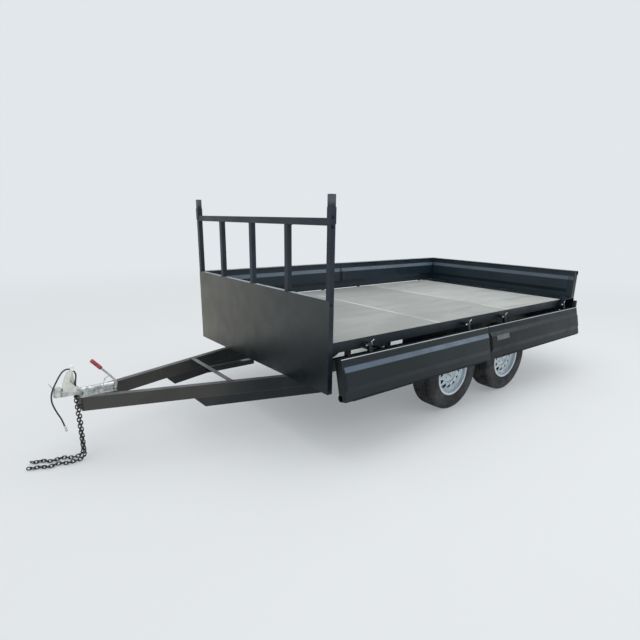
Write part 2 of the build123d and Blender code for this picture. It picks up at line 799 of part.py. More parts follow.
# ---------------------------------------------------------------- safety chains
link_long = 41
link_wide = 29
link_wire = 8
link_gap = 0.3
right_chain_y = -12
left_chain_y = 50
landing_lift = 1.6
link_reach = (link_long - link_wire) / 2
floor_z = ground + (link_wide + link_wire) / 2 * cos(radians(45)) + link_gap + landing_lift

with BuildPart() as link:
    with BuildSketch():
        Rectangle(link_long, link_wide)
        Rectangle(link_long - 2 * link_wire, link_wide - 2 * link_wire, mode=Mode.SUBTRACT)
    extrude(amount=link_wire / 2, both=True)


def chain(x, y, hanging, landing, headings):
    """A chain that hangs from (x, y) and then runs along the ground.

    hanging is how many links hang straight; landing gives the lean of each next one, from straight
    down at 0 to level at 90; headings gives each level link's way, in degrees to the left.
    """
    ways = [(0, headings[0])] * hanging + [(lean, headings[0]) for lean in landing]
    ways += [(90, heading) for heading in headings]
    twist = (45 - headings[0]) / hanging
    centre = Vector(0, 0, 0)
    along = Vector(0, 0, -1)
    across = Vector(0, 1, 0)
    places = []
    for number, (lean, heading) in enumerate(ways):
        flat = sin(radians(lean))
        way = Vector(flat * cos(radians(heading)), flat * sin(radians(heading)), -cos(radians(lean)))
        if number:
            turn = radians(along.get_angle(way))
            bars_apart = link_gap + link_wire / 2 * (1 + cos(turn) + sin(turn))
            centre = centre + along * link_reach + way * (link_reach - bars_apart)
        across = (across - way * across.dot(way)).normalized()
        if 0 < number <= hanging:
            across = across.rotate(Axis((0, 0, 0), way), twist)
        along = way
        places.append((centre, way, way.cross(across) if number % 2 == 0 else across))
    start = Vector(x, y, floor_z - centre.Z)
    planes = [Plane(start + spot, x_dir=way, z_dir=normal) for spot, way, normal in places]
    links = [link.part.moved(plane.location) for plane in planes]
    return Compound(children=links), start.Z


chain_x = nose_front_x + link_wide / 2 + 2
right_headings = (-8, -30, -44, -22, 4, 20, -6, -34, -50, -28, -2, -22, -38)
left_headings = (-6, 12, -12, -38, -26, -2, 18, 2, -26, -44, -24, -4, -24, -36)
right_chain, right_top = chain(chain_x, right_chain_y, 17, (26, 54, 78), right_headings)
left_chain, left_top = chain(chain_x, left_chain_y, 15, (24, 52, 77), left_headings)
print("chain tops", round(right_top), round(left_top))
save(right_chain, "safety_chain_right")
save(left_chain, "safety_chain_left")

chain_bolt_radius = 6
chain_bolt_head = 10
chain_bolt_head_tall = 7
chain_bolt_play = 0.5
chain_bolt_reach = chain_x + link_wire / 2 + chain_bolt_play - nose_front_x
link_hole = link_long / 2 - link_wire
with BuildPart() as drawbar_nose:
    with BuildSketch(along_x(drawbar_front_x, 0, drawbar_top - rail_deep / 2)):
        Rectangle(2 * nose_half, rail_deep)
    extrude(amount=nose_thick)
    for y, top in ((right_chain_y, right_top), (left_chain_y, left_top)):
        bolt_z = top + link_hole - chain_bolt_radius - link_gap
        with BuildSketch(along_x(nose_front_x, y, bolt_z)):
            Circle(chain_bolt_radius)
        extrude(amount=chain_bolt_reach)
        with BuildSketch(along_x(nose_front_x + chain_bolt_reach, y, bolt_z)):
            RegularPolygon(chain_bolt_head, 6)
        extrude(amount=chain_bolt_head_tall)
save(drawbar_nose.part, "drawbar_nose")

# ---------------------------------------------------------------- tail lamps
lamp_wide = 150
lamp_deep = 43
lamp_tall = 85
lamp_overhang = 30
lamp_y = sill_half + lamp_overhang - lamp_wide / 2
lamp_z = hinge_z - 28
with BuildPart() as tail_lamps:
    for side in (1, -1):
        with BuildSketch(along_x(sill_rear_x, side * lamp_y, lamp_z)):
            Rectangle(lamp_wide, lamp_tall)
        extrude(amount=-lamp_deep)
save(tail_lamps.part, "tail_lamps")

print("built")
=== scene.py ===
"""Looks of a tandem flatbed trailer with drop sides, a tailgate and a ladder rack.

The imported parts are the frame. This add-on gives them their paint, steel, zinc and rubber, and adds
the tyres' tread, round-wire chains, the breakaway cable, wheel guards, fasteners, welds, lamp lenses
and a studio.
"""

import json
import math

import bpy
from mathutils import Matrix, Vector

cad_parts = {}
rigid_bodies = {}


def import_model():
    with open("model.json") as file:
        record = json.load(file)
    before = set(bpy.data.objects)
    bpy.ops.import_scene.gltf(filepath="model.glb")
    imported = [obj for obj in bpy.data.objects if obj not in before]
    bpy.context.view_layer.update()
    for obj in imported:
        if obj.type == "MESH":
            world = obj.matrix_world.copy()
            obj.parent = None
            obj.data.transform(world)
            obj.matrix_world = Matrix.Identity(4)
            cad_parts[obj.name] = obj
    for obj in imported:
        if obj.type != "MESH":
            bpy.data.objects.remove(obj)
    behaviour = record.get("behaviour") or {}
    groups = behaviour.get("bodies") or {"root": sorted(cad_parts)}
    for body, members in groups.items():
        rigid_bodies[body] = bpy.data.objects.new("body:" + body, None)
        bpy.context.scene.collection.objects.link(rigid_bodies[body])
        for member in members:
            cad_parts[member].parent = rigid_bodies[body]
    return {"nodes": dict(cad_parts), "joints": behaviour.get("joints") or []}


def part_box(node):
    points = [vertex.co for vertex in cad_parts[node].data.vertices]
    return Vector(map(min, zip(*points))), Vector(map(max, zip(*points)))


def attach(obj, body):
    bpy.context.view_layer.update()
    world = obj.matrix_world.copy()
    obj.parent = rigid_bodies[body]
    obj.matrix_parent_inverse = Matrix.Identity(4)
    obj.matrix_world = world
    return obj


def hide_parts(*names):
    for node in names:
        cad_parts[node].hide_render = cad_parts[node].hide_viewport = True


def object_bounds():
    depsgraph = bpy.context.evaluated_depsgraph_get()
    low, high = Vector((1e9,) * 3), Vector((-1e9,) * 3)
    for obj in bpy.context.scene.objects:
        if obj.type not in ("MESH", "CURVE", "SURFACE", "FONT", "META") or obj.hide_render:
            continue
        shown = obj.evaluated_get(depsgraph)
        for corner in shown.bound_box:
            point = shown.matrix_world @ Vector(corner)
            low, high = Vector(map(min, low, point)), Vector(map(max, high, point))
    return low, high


bl_info = {
    "name": "Flatbed Trailer",
    "version": (1, 0, 0),
    "blender": (4, 5, 0),
    "location": "View3D > Sidebar > Trailer",
    "description": "Finishes, tyres, chains, cable, fasteners and studio of a tandem flatbed trailer",
    "category": "Object",
}

for leftover in list(bpy.data.objects):
    bpy.data.objects.remove(leftover)
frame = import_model()
parts = frame["nodes"]
pins = {joint["name"]: Vector(joint["pos_m"]) for joint in frame["joints"]}
cad_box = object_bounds()
ground = cad_box[0].z
X, Y, Z = Vector((1, 0, 0)), Vector((0, 1, 0)), Vector((0, 0, 1))
ROWS = ("front", "rear")
SIDES = (("left", 1), ("right", -1))
CORNERS = [(f"{row}_{word}", side) for row in ROWS for word, side in SIDES]
MERGE = 0.00005  # points closer than this are one point


# ---------------------------------------------------------------- modelling helpers
def middle(node):
    """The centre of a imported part's box."""
    low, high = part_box(node)
    return (low + high) / 2


def deselect():
    if bpy.context.object and bpy.context.object.mode != "OBJECT":
        bpy.ops.object.mode_set(mode="OBJECT")
    bpy.ops.object.select_all(action="DESELECT")


def only(piece):
    """Leaves one piece selected and active."""
    deselect()
    piece.select_set(True)
    bpy.context.view_layer.objects.active = piece


def named(name):
    """The primitive just added, named, with its place moved into its mesh."""
    piece = bpy.context.object
    piece.name = piece.data.name = name
    bpy.ops.object.transform_apply(location=True, rotation=True, scale=True)
    return piece


def edit_all(kind="FACE"):
    """Goes into edit mode on faces or points, with all of them selected."""
    bpy.ops.object.mode_set(mode="EDIT")
    bpy.ops.mesh.select_mode(type=kind)
    bpy.ops.mesh.select_all(action="SELECT")


def pick_faces(piece, wanted):
    """Goes into edit mode with the faces selected whose centre and normal wanted accepts."""
    only(piece)
    mesh = piece.data
    mesh.vertices.foreach_set("select", [False] * len(mesh.vertices))
    mesh.edges.foreach_set("select", [False] * len(mesh.edges))
    mesh.polygons.foreach_set("select", [bool(wanted(f.center, f.normal)) for f in mesh.polygons])
    bpy.ops.object.mode_set(mode="EDIT")
    bpy.ops.mesh.select_mode(type="FACE")


def push(amount):
    """Extrudes the selected faces along their normals."""
    bpy.ops.mesh.extrude_region_shrink_fatten(TRANSFORM_OT_shrink_fatten={"value": amount})


def leave_edit():
    bpy.ops.object.mode_set(mode="OBJECT")


def close_edit(merge=False):
    """Turns every face outwards, with doubled points merged first if asked, and leaves edit mode."""
    bpy.ops.mesh.select_all(action="SELECT")
    if merge:
        bpy.ops.mesh.remove_doubles(threshold=MERGE)
    bpy.ops.mesh.normals_make_consistent(inside=False)
    leave_edit()


def smooth(angle):
    bpy.ops.object.shade_smooth_by_angle(angle=math.radians(angle))


def rounded(piece, width, angle=35):
    """Bevels a piece's sharp edges and shades it smooth between them."""
    only(piece)
    bevel = piece.modifiers.new("rounding", "BEVEL")
    bevel.width = width
    bevel.segments = 2
    bevel.limit_method = "ANGLE"
    bevel.angle_limit = math.radians(angle)
    bpy.ops.object.modifier_apply(modifier=bevel.name)
    smooth(angle)
    return piece


def block(name, low, high):
    """A box between two opposite corners."""
    deselect()
    size = Vector([abs(length) for length in high - low])
    bpy.ops.mesh.primitive_cube_add(size=1, location=(low + high) / 2, scale=size)
    return named(name)


def turned(name, outline, centre, steps):
    """A closed outline of (outward, radius) points turned about the axle line through centre."""
    deselect()
    points = [centre + Y * out + Z * radius for out, radius in outline]
    bpy.ops.mesh.primitive_plane_add(size=0.01, location=points[0])
    piece = named(name)
    edit_all("VERT")
    bpy.ops.mesh.merge(type="CENTER")
    for here, there in zip(points, points[1:] + points[:1]):
        bpy.ops.mesh.extrude_region_move(TRANSFORM_OT_translate={"value": there - here})
    bpy.ops.mesh.select_all(action="SELECT")
    bpy.ops.mesh.spin(steps=steps, angle=2 * math.pi, center=centre, axis=Y)
    close_edit(merge=True)
    return piece


def disc(name, radius, sides, place, way):
    """A flat round face, left in edit mode and selected, to draw a solid from."""
    deselect()
    turn = way.to_track_quat("Z", "Y").to_euler()
    bpy.ops.mesh.primitive_circle_add(
        vertices=sides, radius=radius, fill_type="NGON", location=place, rotation=turn
    )
    piece = named(name)
    edit_all()
    return piece


def wire(name, start, way, runs, radius):
    """A bent rod: runs are lengths, or (centre, axis, degrees) for a bend about a point."""
    piece = disc(name, radius, 10, start, way)
    for run in runs:
        if isinstance(run, tuple):
            centre, axis, degrees = run
            bpy.ops.mesh.spin(steps=8, angle=math.radians(degrees), center=centre, axis=axis)
            way = Matrix.Rotation(math.radians(degrees), 3, axis) @ way
        else:
            bpy.ops.mesh.extrude_region_move(TRANSFORM_OT_translate={"value": way * run})
    close_edit(merge=True)
    smooth(50)
    return piece


def lofted(name, rings, sides):
    """An upright round piece at the origin from (height, radius) rings, closed at both ends."""
    (height, radius), *others = rings
    piece = disc(name, radius, sides, Z * height, Z)
    for next_height, next_radius in others:
        bpy.ops.mesh.extrude_region_move(TRANSFORM_OT_translate={"value": (0, 0, next_height - height)})
        share = next_radius / radius
        bpy.ops.transform.resize(value=(share, share, 1), center_override=(0, 0, next_height))
        height, radius = next_height, next_radius
    close_edit()
    smooth(40)
    return piece


def joined(pieces, name):
    """Several pieces made one."""
    deselect()
    for piece in pieces:
        piece.select_set(True)
    bpy.context.view_layer.objects.active = pieces[0]
    if len(pieces) > 1:
        bpy.ops.object.join()
    pieces[0].name = pieces[0].data.name = name
    return pieces[0]


def copied(piece, name, place):
    """A copy with its own mesh, moved and turned as place says."""
    twin = piece.copy()
    twin.data = piece.data.copy()
    twin.name = twin.data.name = name
    bpy.context.scene.collection.objects.link(twin)
    twin.data.transform(place)
    return twin


def repeated(piece, places, name):
    """Copies of a modelled piece at each place, joined, with the first one used up."""
    twins = [copied(piece, f"{name}_{number}", place) for number, place in enumerate(places)]
    bpy.data.objects.remove(piece)
    return joined(twins, name)


def facing(spot, way, roll=0.0):
    """Where a piece made upright at the origin stands on spot with its top along way."""
    return (
        Matrix.Translation(spot)
        @ Vector(way).to_track_quat("Z", "Y").to_matrix().to_4x4()
        @ Matrix.Rotation(roll, 4, "Z")
    )


def hex_bolt(name, radius, stub):
    """A washer with a hexagon nut on it, upright at the origin, with a rounded thread end."""
    washer_tall, nut_tall = radius * 0.28, radius * 1.1
    turnings = []
    for word, sides, wide, tall, foot in (
        (name, 28, 1.9, washer_tall, 0.0),
        (name + "_nut", 6, 1.5, nut_tall, washer_tall),
    ):
        deselect()
        bpy.ops.mesh.primitive_cylinder_add(
            vertices=sides, radius=radius * wide, depth=tall, location=(0, 0, foot + tall / 2)
        )
        turnings.append(named(word))
    washer, nut = turnings
    rounded(washer, washer_tall * 0.25)
    pick_faces(nut, lambda centre, normal: normal.z > 0.9)
    bpy.ops.mesh.inset(thickness=radius * 0.35, depth=radius * 0.1)
    bpy.ops.mesh.inset(thickness=radius * 0.2)
    push(stub)
    leave_edit()
    rounded(nut, radius * 0.06)
    return joined([washer, nut], name)


def give(piece, material):
    """Assigns one finish to a piece, in all its slots."""
    if not piece.material_slots:
        piece.data.materials.append(material)
    for slot in piece.material_slots:
        slot.material = material
    return piece


def dress(material, *names):
    """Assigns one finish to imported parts."""
    for name in names:
        give(parts[name], material)


def carried(piece, body, material, replacing=()):
    """Gives a finished piece its finish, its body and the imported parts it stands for."""
    give(piece, material)
    if replacing:
        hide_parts(*replacing)
    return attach(piece, body)


# ---------------------------------------------------------------- finishes
# which sockets of a Mix node hold its share, its two colours and the mixed colour
MIX_SHARE, MIX_FIRST, MIX_SECOND, MIX_RESULT = 0, 6, 7, 2


class Shading:
    """The nodes of a material or a world. A value is a number, a vector, a colour or an output."""

    def __init__(self, owner):
        owner.use_nodes = True
        self.owner = owner
        self.nodes, self.links = owner.node_tree.nodes, owner.node_tree.links

    def put(self, socket, value):
        """Links an output to a socket, or sets the socket to a constant."""
        if isinstance(value, bpy.types.NodeSocket):
            self.links.new(value, socket)
        else:
            socket.default_value = value

    def node(self, kind, output, inputs, **settings):
        """Adds a node, fills its inputs and gives one of its outputs."""
        made = self.nodes.new("ShaderNode" + kind)
        for setting, value in settings.items():
            setattr(made, setting, value)
        for key, value in inputs.items():
            self.put(made.inputs[key], value)
        return made.outputs[output]

    def maths(self, operation, first, second=0.0):
        return self.node("Math", "Value", {0: first, 1: second}, operation=operation)

    def times(self, first, second):
        return self.maths("MULTIPLY", first, second)

    def vectors(self, operation, output, first, second=(0, 0, 0)):
        return self.node("VectorMath", output, {0: first, 1: second}, operation=operation)

    def place(self):
        """Where a point lies on the piece, in metres."""
        return self.node("TexCoord", "Object", {})

    def along(self, way):
        """How far a point lies along a direction, in metres, in the piece's own coordinates."""
        return self.vectors("DOT_PRODUCT", "Value", self.place(), way)

    def reach(self, centre, spread=(1, 1, 1)):
        """A point's way from a centre, stretched along each axis by spread, and that way's length."""
        way = self.vectors("SUBTRACT", "Vector", self.place(), centre)
        way = self.vectors("MULTIPLY", "Vector", way, spread)
        return way, self.vectors("LENGTH", "Value", way)

    def eased(self, value, low, high, start=0.0, end=1.0):
        """A value brought smoothly from the range low..high to start..end."""
        inputs = {"Value": value, "From Min": low, "From Max": high, "To Min": start, "To Max": end}
        return self.node("MapRange", "Result", inputs, interpolation_type="SMOOTHSTEP")

    def noise(self, scale, detail, stretch=(1, 1, 1), turn=0.0):
        """A noise pattern on the piece's own coordinates, in cycles per metre."""
        mapping = {"Vector": self.place(), "Scale": stretch, "Rotation": (0, 0, turn)}
        spread = self.node("Mapping", "Vector", mapping)
        return self.node("TexNoise", "Fac", {"Vector": spread, "Scale": scale, "Detail": detail})

    def mottle(self, scale, detail, low, high, start=0.0, end=1.0, stretch=(1, 1, 1), turn=0.0):
        """Noise with what lies between low and high spread over start..end."""
        return self.eased(self.noise(scale, detail, stretch, turn), low, high, start, end)

    def strip(self, way, low, high, soft):
        """1 between two places along a direction and 0 elsewhere."""
        place = self.along(way)
        rise = self.eased(place, low - soft, low + soft)
        return self.times(rise, self.eased(place, high - soft, high + soft, 1.0, 0.0))

    def mixed(self, share, first, second):
        """Two colours, or colour outputs, mixed by a share."""
        inputs = {MIX_SHARE: share}
        for key, colour in ((MIX_FIRST, first), (MIX_SECOND, second)):
            inputs[key] = colour if isinstance(colour, bpy.types.NodeSocket) else (*colour[:3], 1)
        return self.node("Mix", MIX_RESULT, inputs, data_type="RGBA")

    def faded(self, tone, fades):
        """A tone with others growing over it: (way, low, high, colour) each, in metres along its way."""
        for way, low, high, shade in fades:
            tone = self.mixed(self.eased(self.along(way), low, high), tone, shade)
        return tone

    def show(self, output, lit, seen, share=1.0):
        """Shows the camera and its reflections a share of seen, and every other ray only lit."""
        rays = self.nodes.new("ShaderNodeLightPath").outputs
        straight = self.maths("MAXIMUM", rays["Is Camera Ray"], rays["Is Glossy Ray"])
        shown = self.node("MixShader", "Shader", {"Fac": self.times(share, straight), 1: lit, 2: seen})
        self.put(self.nodes[output].inputs["Surface"], shown)


class Finish(Shading):
    """A material with one principled shader."""

    def __init__(self, name):
        super().__init__(bpy.data.materials.new(name))
        self.shader = self.nodes["Principled BSDF"]

    def fill(self, values):
        for name, value in values.items():
            self.put(self.shader.inputs[name], value)

    def surface(self, tone, gloss, grain, relief, more=()):
        """Connects colour, roughness and a relief, as (scale, detail) and (strength, height)."""
        strength, height = relief
        bump = {"Strength": strength, "Distance": height, "Height": self.noise(*grain)}
        normal = self.node("Bump", "Normal", bump)
        self.fill({"Base Color": tone, "Roughness": gloss, "Normal": normal, **dict(more)})
        return self.owner


def paint(name, colour, worn, roughness, patch=2.2, dust=None, top=None, fades=(), painted_highlights=(), shine=0.3):
    """Enamel on steel: soft patches between two tones, dust in specks, and its own masks.

    top is (height, colour) for an upper face lightened by dust and a painted highlight; fades are as in
    faded(); painted_highlights holds (way, low, high, ends, colour, soft) for painted highlight strips,
    which ends limits along the piece if given.
    """
    finish = Finish(name)
    tone = finish.mixed(finish.mottle(patch, 5.0, 0.38, 0.66), colour, worn)
    # painted highlights and reflections: light strips laid over the tone
    for way, low, high, ends, light, soft in painted_highlights:
        lit = finish.strip(way, low, high, soft)
        if ends:
            lit = finish.times(lit, finish.strip(*ends, 0.006))
        uneven = finish.mottle(3.0, 3.0, 0.3, 0.7, 0.78, 1.0)
        tone = finish.mixed(finish.times(lit, uneven), tone, light)
    tone = finish.faded(tone, fades)
    if dust:
        tone = finish.mixed(finish.mottle(26.0, 9.0, 0.58, 0.8, 0.0, 0.3), tone, dust)
    # a lighter upper face: dust, and a painted highlight
    if top:
        height, dust_and_highlight = top
        upper = finish.eased(finish.along(Z), height - 0.0012, height - 0.0002)
        uneven = finish.mottle(6.0, 5.0, 0.3, 0.7, 0.55, 1.0)
        tone = finish.mixed(finish.times(upper, uneven), tone, dust_and_highlight)
    gloss = finish.mottle(7.0, 5.0, 0.3, 0.7, roughness - 0.07, roughness + 0.1)
    return finish.surface(tone, gloss, (160.0, 3.0), (0.05, 0.0005), {"Specular IOR Level": shine})


def metal(name, colour, worn, roughness, metallic, patch=26.0, grain=160.0, fades=()):
    """Bare or plated metal with a mottled tone and a fine grain."""
    finish = Finish(name)
    tone = finish.faded(finish.mixed(finish.mottle(patch, 6.0, 0.35, 0.68), colour, worn), fades)
    gloss = finish.mottle(patch * 2, 4.0, 0.3, 0.7, roughness - 0.08, roughness + 0.12)
    return finish.surface(tone, gloss, (grain, 3.0), (0.18, 0.0004), {"Metallic": metallic})


def moulded(name, colour, worn, roughness, patch, grain, strength):
    """Rubber or plastic with a fine texture and slight colour drift."""
    finish = Finish(name)
    tone = finish.mixed(finish.mottle(patch, 6.0, 0.35, 0.7), colour, worn)
    gloss = finish.mottle(patch * 1.7, 4.0, 0.3, 0.7, roughness - 0.08, roughness + 0.08)
    return finish.surface(tone, gloss, (grain, 2.0), (strength, 0.0005))


def deck_plate(name, colour, worn, stain, joint):
    """Bare deck steel: broad cloudy stains, scuffs along the deck, small spots and faint scratches.

    joint is how far forward the sheet's rear edge lies, where a light line crosses the steel.
    """
    finish = Finish(name)
    bright = tuple(min(1.0, 1.35 * c) for c in colour)
    tone = finish.mixed(finish.mottle(1.1, 6.0, 0.36, 0.66, stretch=(1, 1.6, 1)), colour, worn)
    for share, shade in (
        (finish.mottle(2.4, 7.0, 0.5, 0.72, 0.0, 0.6, (0.35, 3.2, 1), 0.5), stain),
        (finish.mottle(21.0, 8.0, 0.6, 0.74, 0.0, 0.5), stain),
        (finish.mottle(9.0, 10.0, 0.63, 0.7, 0.0, 0.4, (0.6, 14, 1), 0.24), bright),
    ):
        tone = finish.mixed(share, tone, shade)
    # a light line across the steel where the sheet's rear edge lies
    joint_line_unevenness = finish.mottle(2.6, 5.0, 0.4, 0.6, 0.15, 1.0)
    lit = finish.strip(X, joint - 0.02, joint + 0.026, 0.008)
    tone = finish.mixed(finish.times(lit, joint_line_unevenness), tone, (0.6, 0.61, 0.59))
    gloss = finish.mottle(3.0, 6.0, 0.3, 0.7, 0.5, 0.72)
    return finish.surface(tone, gloss, (14.0, 6.0), (0.25, 0.0015), {"Metallic": 0.15})


# ---------------------------------------------------------------- what a user may change
def colour_choice(name, description, default):
    return bpy.props.FloatVectorProperty(
        name=name, description=description, subtype="COLOR", size=3, min=0.0, max=1.0, default=default
    )


def length_choice(name, description, default):
    return bpy.props.FloatProperty(
        name=name, description=description, unit="LENGTH", min=0.0005, max=5.0, default=default, precision=4
    )


class TrailerColours(bpy.types.PropertyGroup):
    panels: colour_choice("Panel", "Blue-black enamel of the front left side", (0.008, 0.013, 0.016))
    # painted reflection: the strip stands for the sky mirrored in that side's bevel
    panel_bevel_reflection: colour_choice("Panel band", "Light strip along that side's bevel", (0.09, 0.13, 0.178))
    headboard: colour_choice("Headboard", "Olive-black paint of the headboard sheet", (0.108, 0.104, 0.086))
    drawbar: colour_choice("Drawbar", "Grey-brown paint of the drawbar", (0.05, 0.048, 0.044))
    steelwork: colour_choice("Steelwork", "Black paint of the frame, posts and rack", (0.007, 0.0135, 0.023))
    # also the braces' upper faces, where it stands for dust and a painted highlight
    dust: colour_choice("Dust", "Dust that lies on upper faces", (0.2, 0.21, 0.2))
    deck: colour_choice("Deck", "Pale grey steel of the deck", (0.39, 0.405, 0.39))
    zinc: colour_choice("Zinc", "Plated steel of the coupling and fasteners", (0.72, 0.74, 0.73))
    wheels: colour_choice("Wheels", "Silver paint of the wheels", (0.62, 0.71, 0.77))
    rubber: colour_choice("Rubber", "Tyres", (0.0095, 0.011, 0.012))
    chain: colour_choice("Chain", "Blackened steel of the safety chains", (0.03, 0.03, 0.03))
    grip: colour_choice("Grip", "Red grip of the handbrake lever", (0.4, 0.065, 0.085))
    lens: colour_choice("Lens", "Red lens of a tail lamp", (0.42, 0.012, 0.012))
    floor: colour_choice("Floor", "Studio floor", (0.755, 0.768, 0.78))


class TrailerSizes(bpy.types.PropertyGroup):
    cable_diameter: length_choice("Cable diameter", "Outside of the breakaway cable's sheath", 0.0105)
    wheel_nut: length_choice("Wheel nut", "Thread radius of a wheel nut", 0.0062)
    bolt: length_choice("Bolt", "Thread radius of a frame bolt", 0.006)
    tread_depth: length_choice("Tread depth", "Depth of the tyres' grooves", 0.006)
    wire: length_choice("Hinge clip wire", "Radius of the spring clips' wire", 0.0028)
    bead: length_choice("Weld bead", "Half width of a weld bead", 0.004)
    lens_focal: length_choice("Focal length", "Camera's focal length", 0.02607)


def colours():
    return bpy.context.scene.trailer_colours


def sizes():
    return bpy.context.scene.trailer_sizes


def zinc_finish():
    found = bpy.data.materials.get("bright_zinc")
    return found or metal("bright_zinc", colours().zinc, (0.36, 0.375, 0.375), 0.24, 0.85, 34.0)


def black_finish():
    found = bpy.data.materials.get("steelwork_black")
    return found or paint("steelwork_black", colours().steelwork, (0.018, 0.024, 0.03), 0.4)


# ---------------------------------------------------------------- pieces
class TRAILER_OT_cable(bpy.types.Operator):
    """Breakaway cable that hangs over the coupling lever, with its ring below"""

    bl_idname = "trailer.cable"
    bl_label = "Breakaway Cable"

    route = [
        (-0.117, -0.006, 0.006), (-0.117, -0.006, 0.036), (-0.125, -0.010, 0.068), (-0.131, -0.016, 0.101),
        (-0.116, -0.0205, 0.131), (-0.086, -0.021, 0.145), (-0.055, -0.017, 0.137), (-0.029, -0.008, 0.110),
        (-0.003, 0.005, 0.074), (0.024, 0.020, 0.035), (0.042, 0.027, -0.008), (0.045, 0.027, -0.058),
        (0.033, 0.022, -0.107), (0.017, 0.016, -0.155), (-0.002, 0.012, -0.202), (-0.012, 0.010, -0.251),
    ]
    length = 0.62

    def execute(self, context):
        curve = bpy.data.curves.new("breakaway_cord", "CURVE")
        curve.dimensions = "3D"
        spline = curve.splines.new("NURBS")
        spline.points.add(len(self.route) - 1)
        for point, spot in zip(spline.points, self.route):
            point.co = (*spot, 1)
        spline.order_u = 3
        spline.use_endpoint_u = True
        curve.resolution_u = 12
        curve.bevel_depth = sizes().cable_diameter / 2
        curve.bevel_resolution = 4
        curve.use_fill_caps = True
        cable = bpy.data.objects.new("breakaway_cord", curve)
        context.scene.collection.objects.link(cable)
        sheath = moulded("cable_sheath", (0.012, 0.018, 0.019), (0.03, 0.037, 0.038), 0.42, 60.0, 900.0, 0.1)
        carried(cable, "trailer", sheath, ["breakaway_cable"])
        clip = give(parts["cable_clip"], zinc_finish())
        return {"FINISHED"}


class TRAILER_OT_chains(bpy.types.Operator):
    """Safety chains of round-wire links, each where its packed link lies"""

    bl_idname = "trailer.chains"
    bl_label = "Safety Chains"

    link_long, link_wide, link_wire = 0.041, 0.029, 0.008

    def link(self):
        """One round-wire link, long along X, at the origin."""
        deselect()
        ring = (self.link_wide - self.link_wire) / 2
        bpy.ops.mesh.primitive_torus_add(
            major_segments=18, minor_segments=8, major_radius=ring, minor_radius=self.link_wire / 2
        )
        piece = named("link")
        stretch = (self.link_long - self.link_wide) / 2
        for way in (1, -1):
            pick_faces(piece, lambda centre, normal: False)
            bpy.ops.mesh.select_mode(type="VERT")
            leave_edit()
            for vertex in piece.data.vertices:
                vertex.select = vertex.co.x * way > 0.0001
            bpy.ops.object.mode_set(mode="EDIT")
            bpy.ops.transform.translate(value=(way * stretch, 0, 0))
            leave_edit()
        bpy.ops.object.shade_smooth()
        return piece

    def places(self, node):
        """Where each packed link lies, from the middle and the long and wide edges of its own solid."""
        solid = copied(parts[node], "links_found", Matrix.Identity(4))
        solid.parent = None
        only(solid)
        edit_all("VERT")
        bpy.ops.mesh.remove_doubles(threshold=MERGE)
        bpy.ops.mesh.separate(type="LOOSE")
        leave_edit()
        found = []
        for part in list(bpy.context.selected_objects):
            corners = [v.co.copy() for v in part.data.vertices]
            centre = sum(corners, Vector()) / len(corners)
            edges = [corners[e.vertices[0]] - corners[e.vertices[1]] for e in part.data.edges]
            long_way = min(edges, key=lambda edge: abs(edge.length - self.link_long)).normalized()
            wide_way = min(edges, key=lambda edge: abs(edge.length - self.link_wide)).normalized()
            thin_way = long_way.cross(wide_way).normalized()
            turn = Matrix((long_way, thin_way.cross(long_way), thin_way)).transposed().to_4x4()
            found.append(Matrix.Translation(centre) @ turn)
            bpy.data.objects.remove(part)
        return found

    def execute(self, context):
        blackened = metal("chain_steel", colours().chain, (0.085, 0.082, 0.078), 0.34, 0.7, 40.0)
        for word, _ in SIDES:
            node = f"safety_chain_{word}"
            chain = repeated(self.link(), self.places(node), f"chain_{word}")
            carried(chain, "trailer", blackened, [node])
        return {"FINISHED"}


class TRAILER_OT_tyres(bpy.types.Operator):
    """Road tyres with ribs, grooves and shoulder blocks"""

    bl_idname = "trailer.tyres"
    bl_label = "Tyres"

    side = [
        (0.0930, 0.1920), (0.0950, 0.1922), (0.0956, 0.2090), (0.1000, 0.2115), (0.1050, 0.2190),
        (0.1095, 0.2330), (0.1112, 0.2480), (0.1124, 0.2500), (0.1125, 0.2570), (0.1114, 0.2590),
        (0.1124, 0.2750), (0.1124, 0.2900), (0.1112, 0.3010), (0.1117, 0.3025), (0.1115, 0.3055),
        (0.1103, 0.3070), (0.1083, 0.3190), (0.1045, 0.3290), (0.0985, 0.3362), (0.0905, 0.3405),
        (0.0845, 0.3425), (0.0580, 0.3441),
    ]
    grooves = [
        (0.0575, 0.3360), (0.0515, 0.3360), (0.0510, 0.3443), (0.0220, 0.3448), (0.0215, 0.3360),
        (0.0155, 0.3360), (0.0150, 0.3449), (0.0, 0.3450),
    ]
    steps = 120
    tread_radius = 0.3385
    shoulder = 0.0585
    rib = (0.0225, 0.0508)

    def is_gap(self, way, normal):
        """Whether a face at this way from the wheel's centre is the top of a gap between blocks."""
        if math.hypot(way.x, way.z) < self.tread_radius or abs(normal.y) > 0.6:
            return False
        if normal.x * way.x + normal.z * way.z < 0:
            return False
        step = int((math.atan2(way.z, way.x) / (2 * math.pi) % 1) * self.steps)
        if abs(way.y) > self.shoulder:
            return step % 3 == 0
        return self.rib[0] < abs(way.y) < self.rib[1] and step % 6 == (2 if way.y > 0 else 4)

    def execute(self, context):
        first = CORNERS[0][0]
        centre = middle(f"tyre_{first}")
        half = self.side + self.grooves
        outline = half + [(-out, radius) for out, radius in reversed(half[:-1])]
        tyre = turned(f"road_tyre_{first}", outline, centre, self.steps)
        pick_faces(tyre, lambda spot, normal: self.is_gap(spot - centre, normal))
        push(-sizes().tread_depth * 0.75)
        leave_edit()
        only(tyre)
        smooth(38)
        rubber = moulded("tyre_rubber_finish", colours().rubber, (0.04, 0.042, 0.042), 0.72, 9.0, 260.0, 0.3)
        tyres = {first: tyre}
        for word, _ in CORNERS[1:]:
            shift = Matrix.Translation(middle(f"tyre_{word}") - centre)
            tyres[word] = copied(tyre, f"road_tyre_{word}", shift)
        for word, piece in tyres.items():
            carried(piece, f"wheel_{word}", rubber, [f"tyre_{word}"])
        return {"FINISHED"}


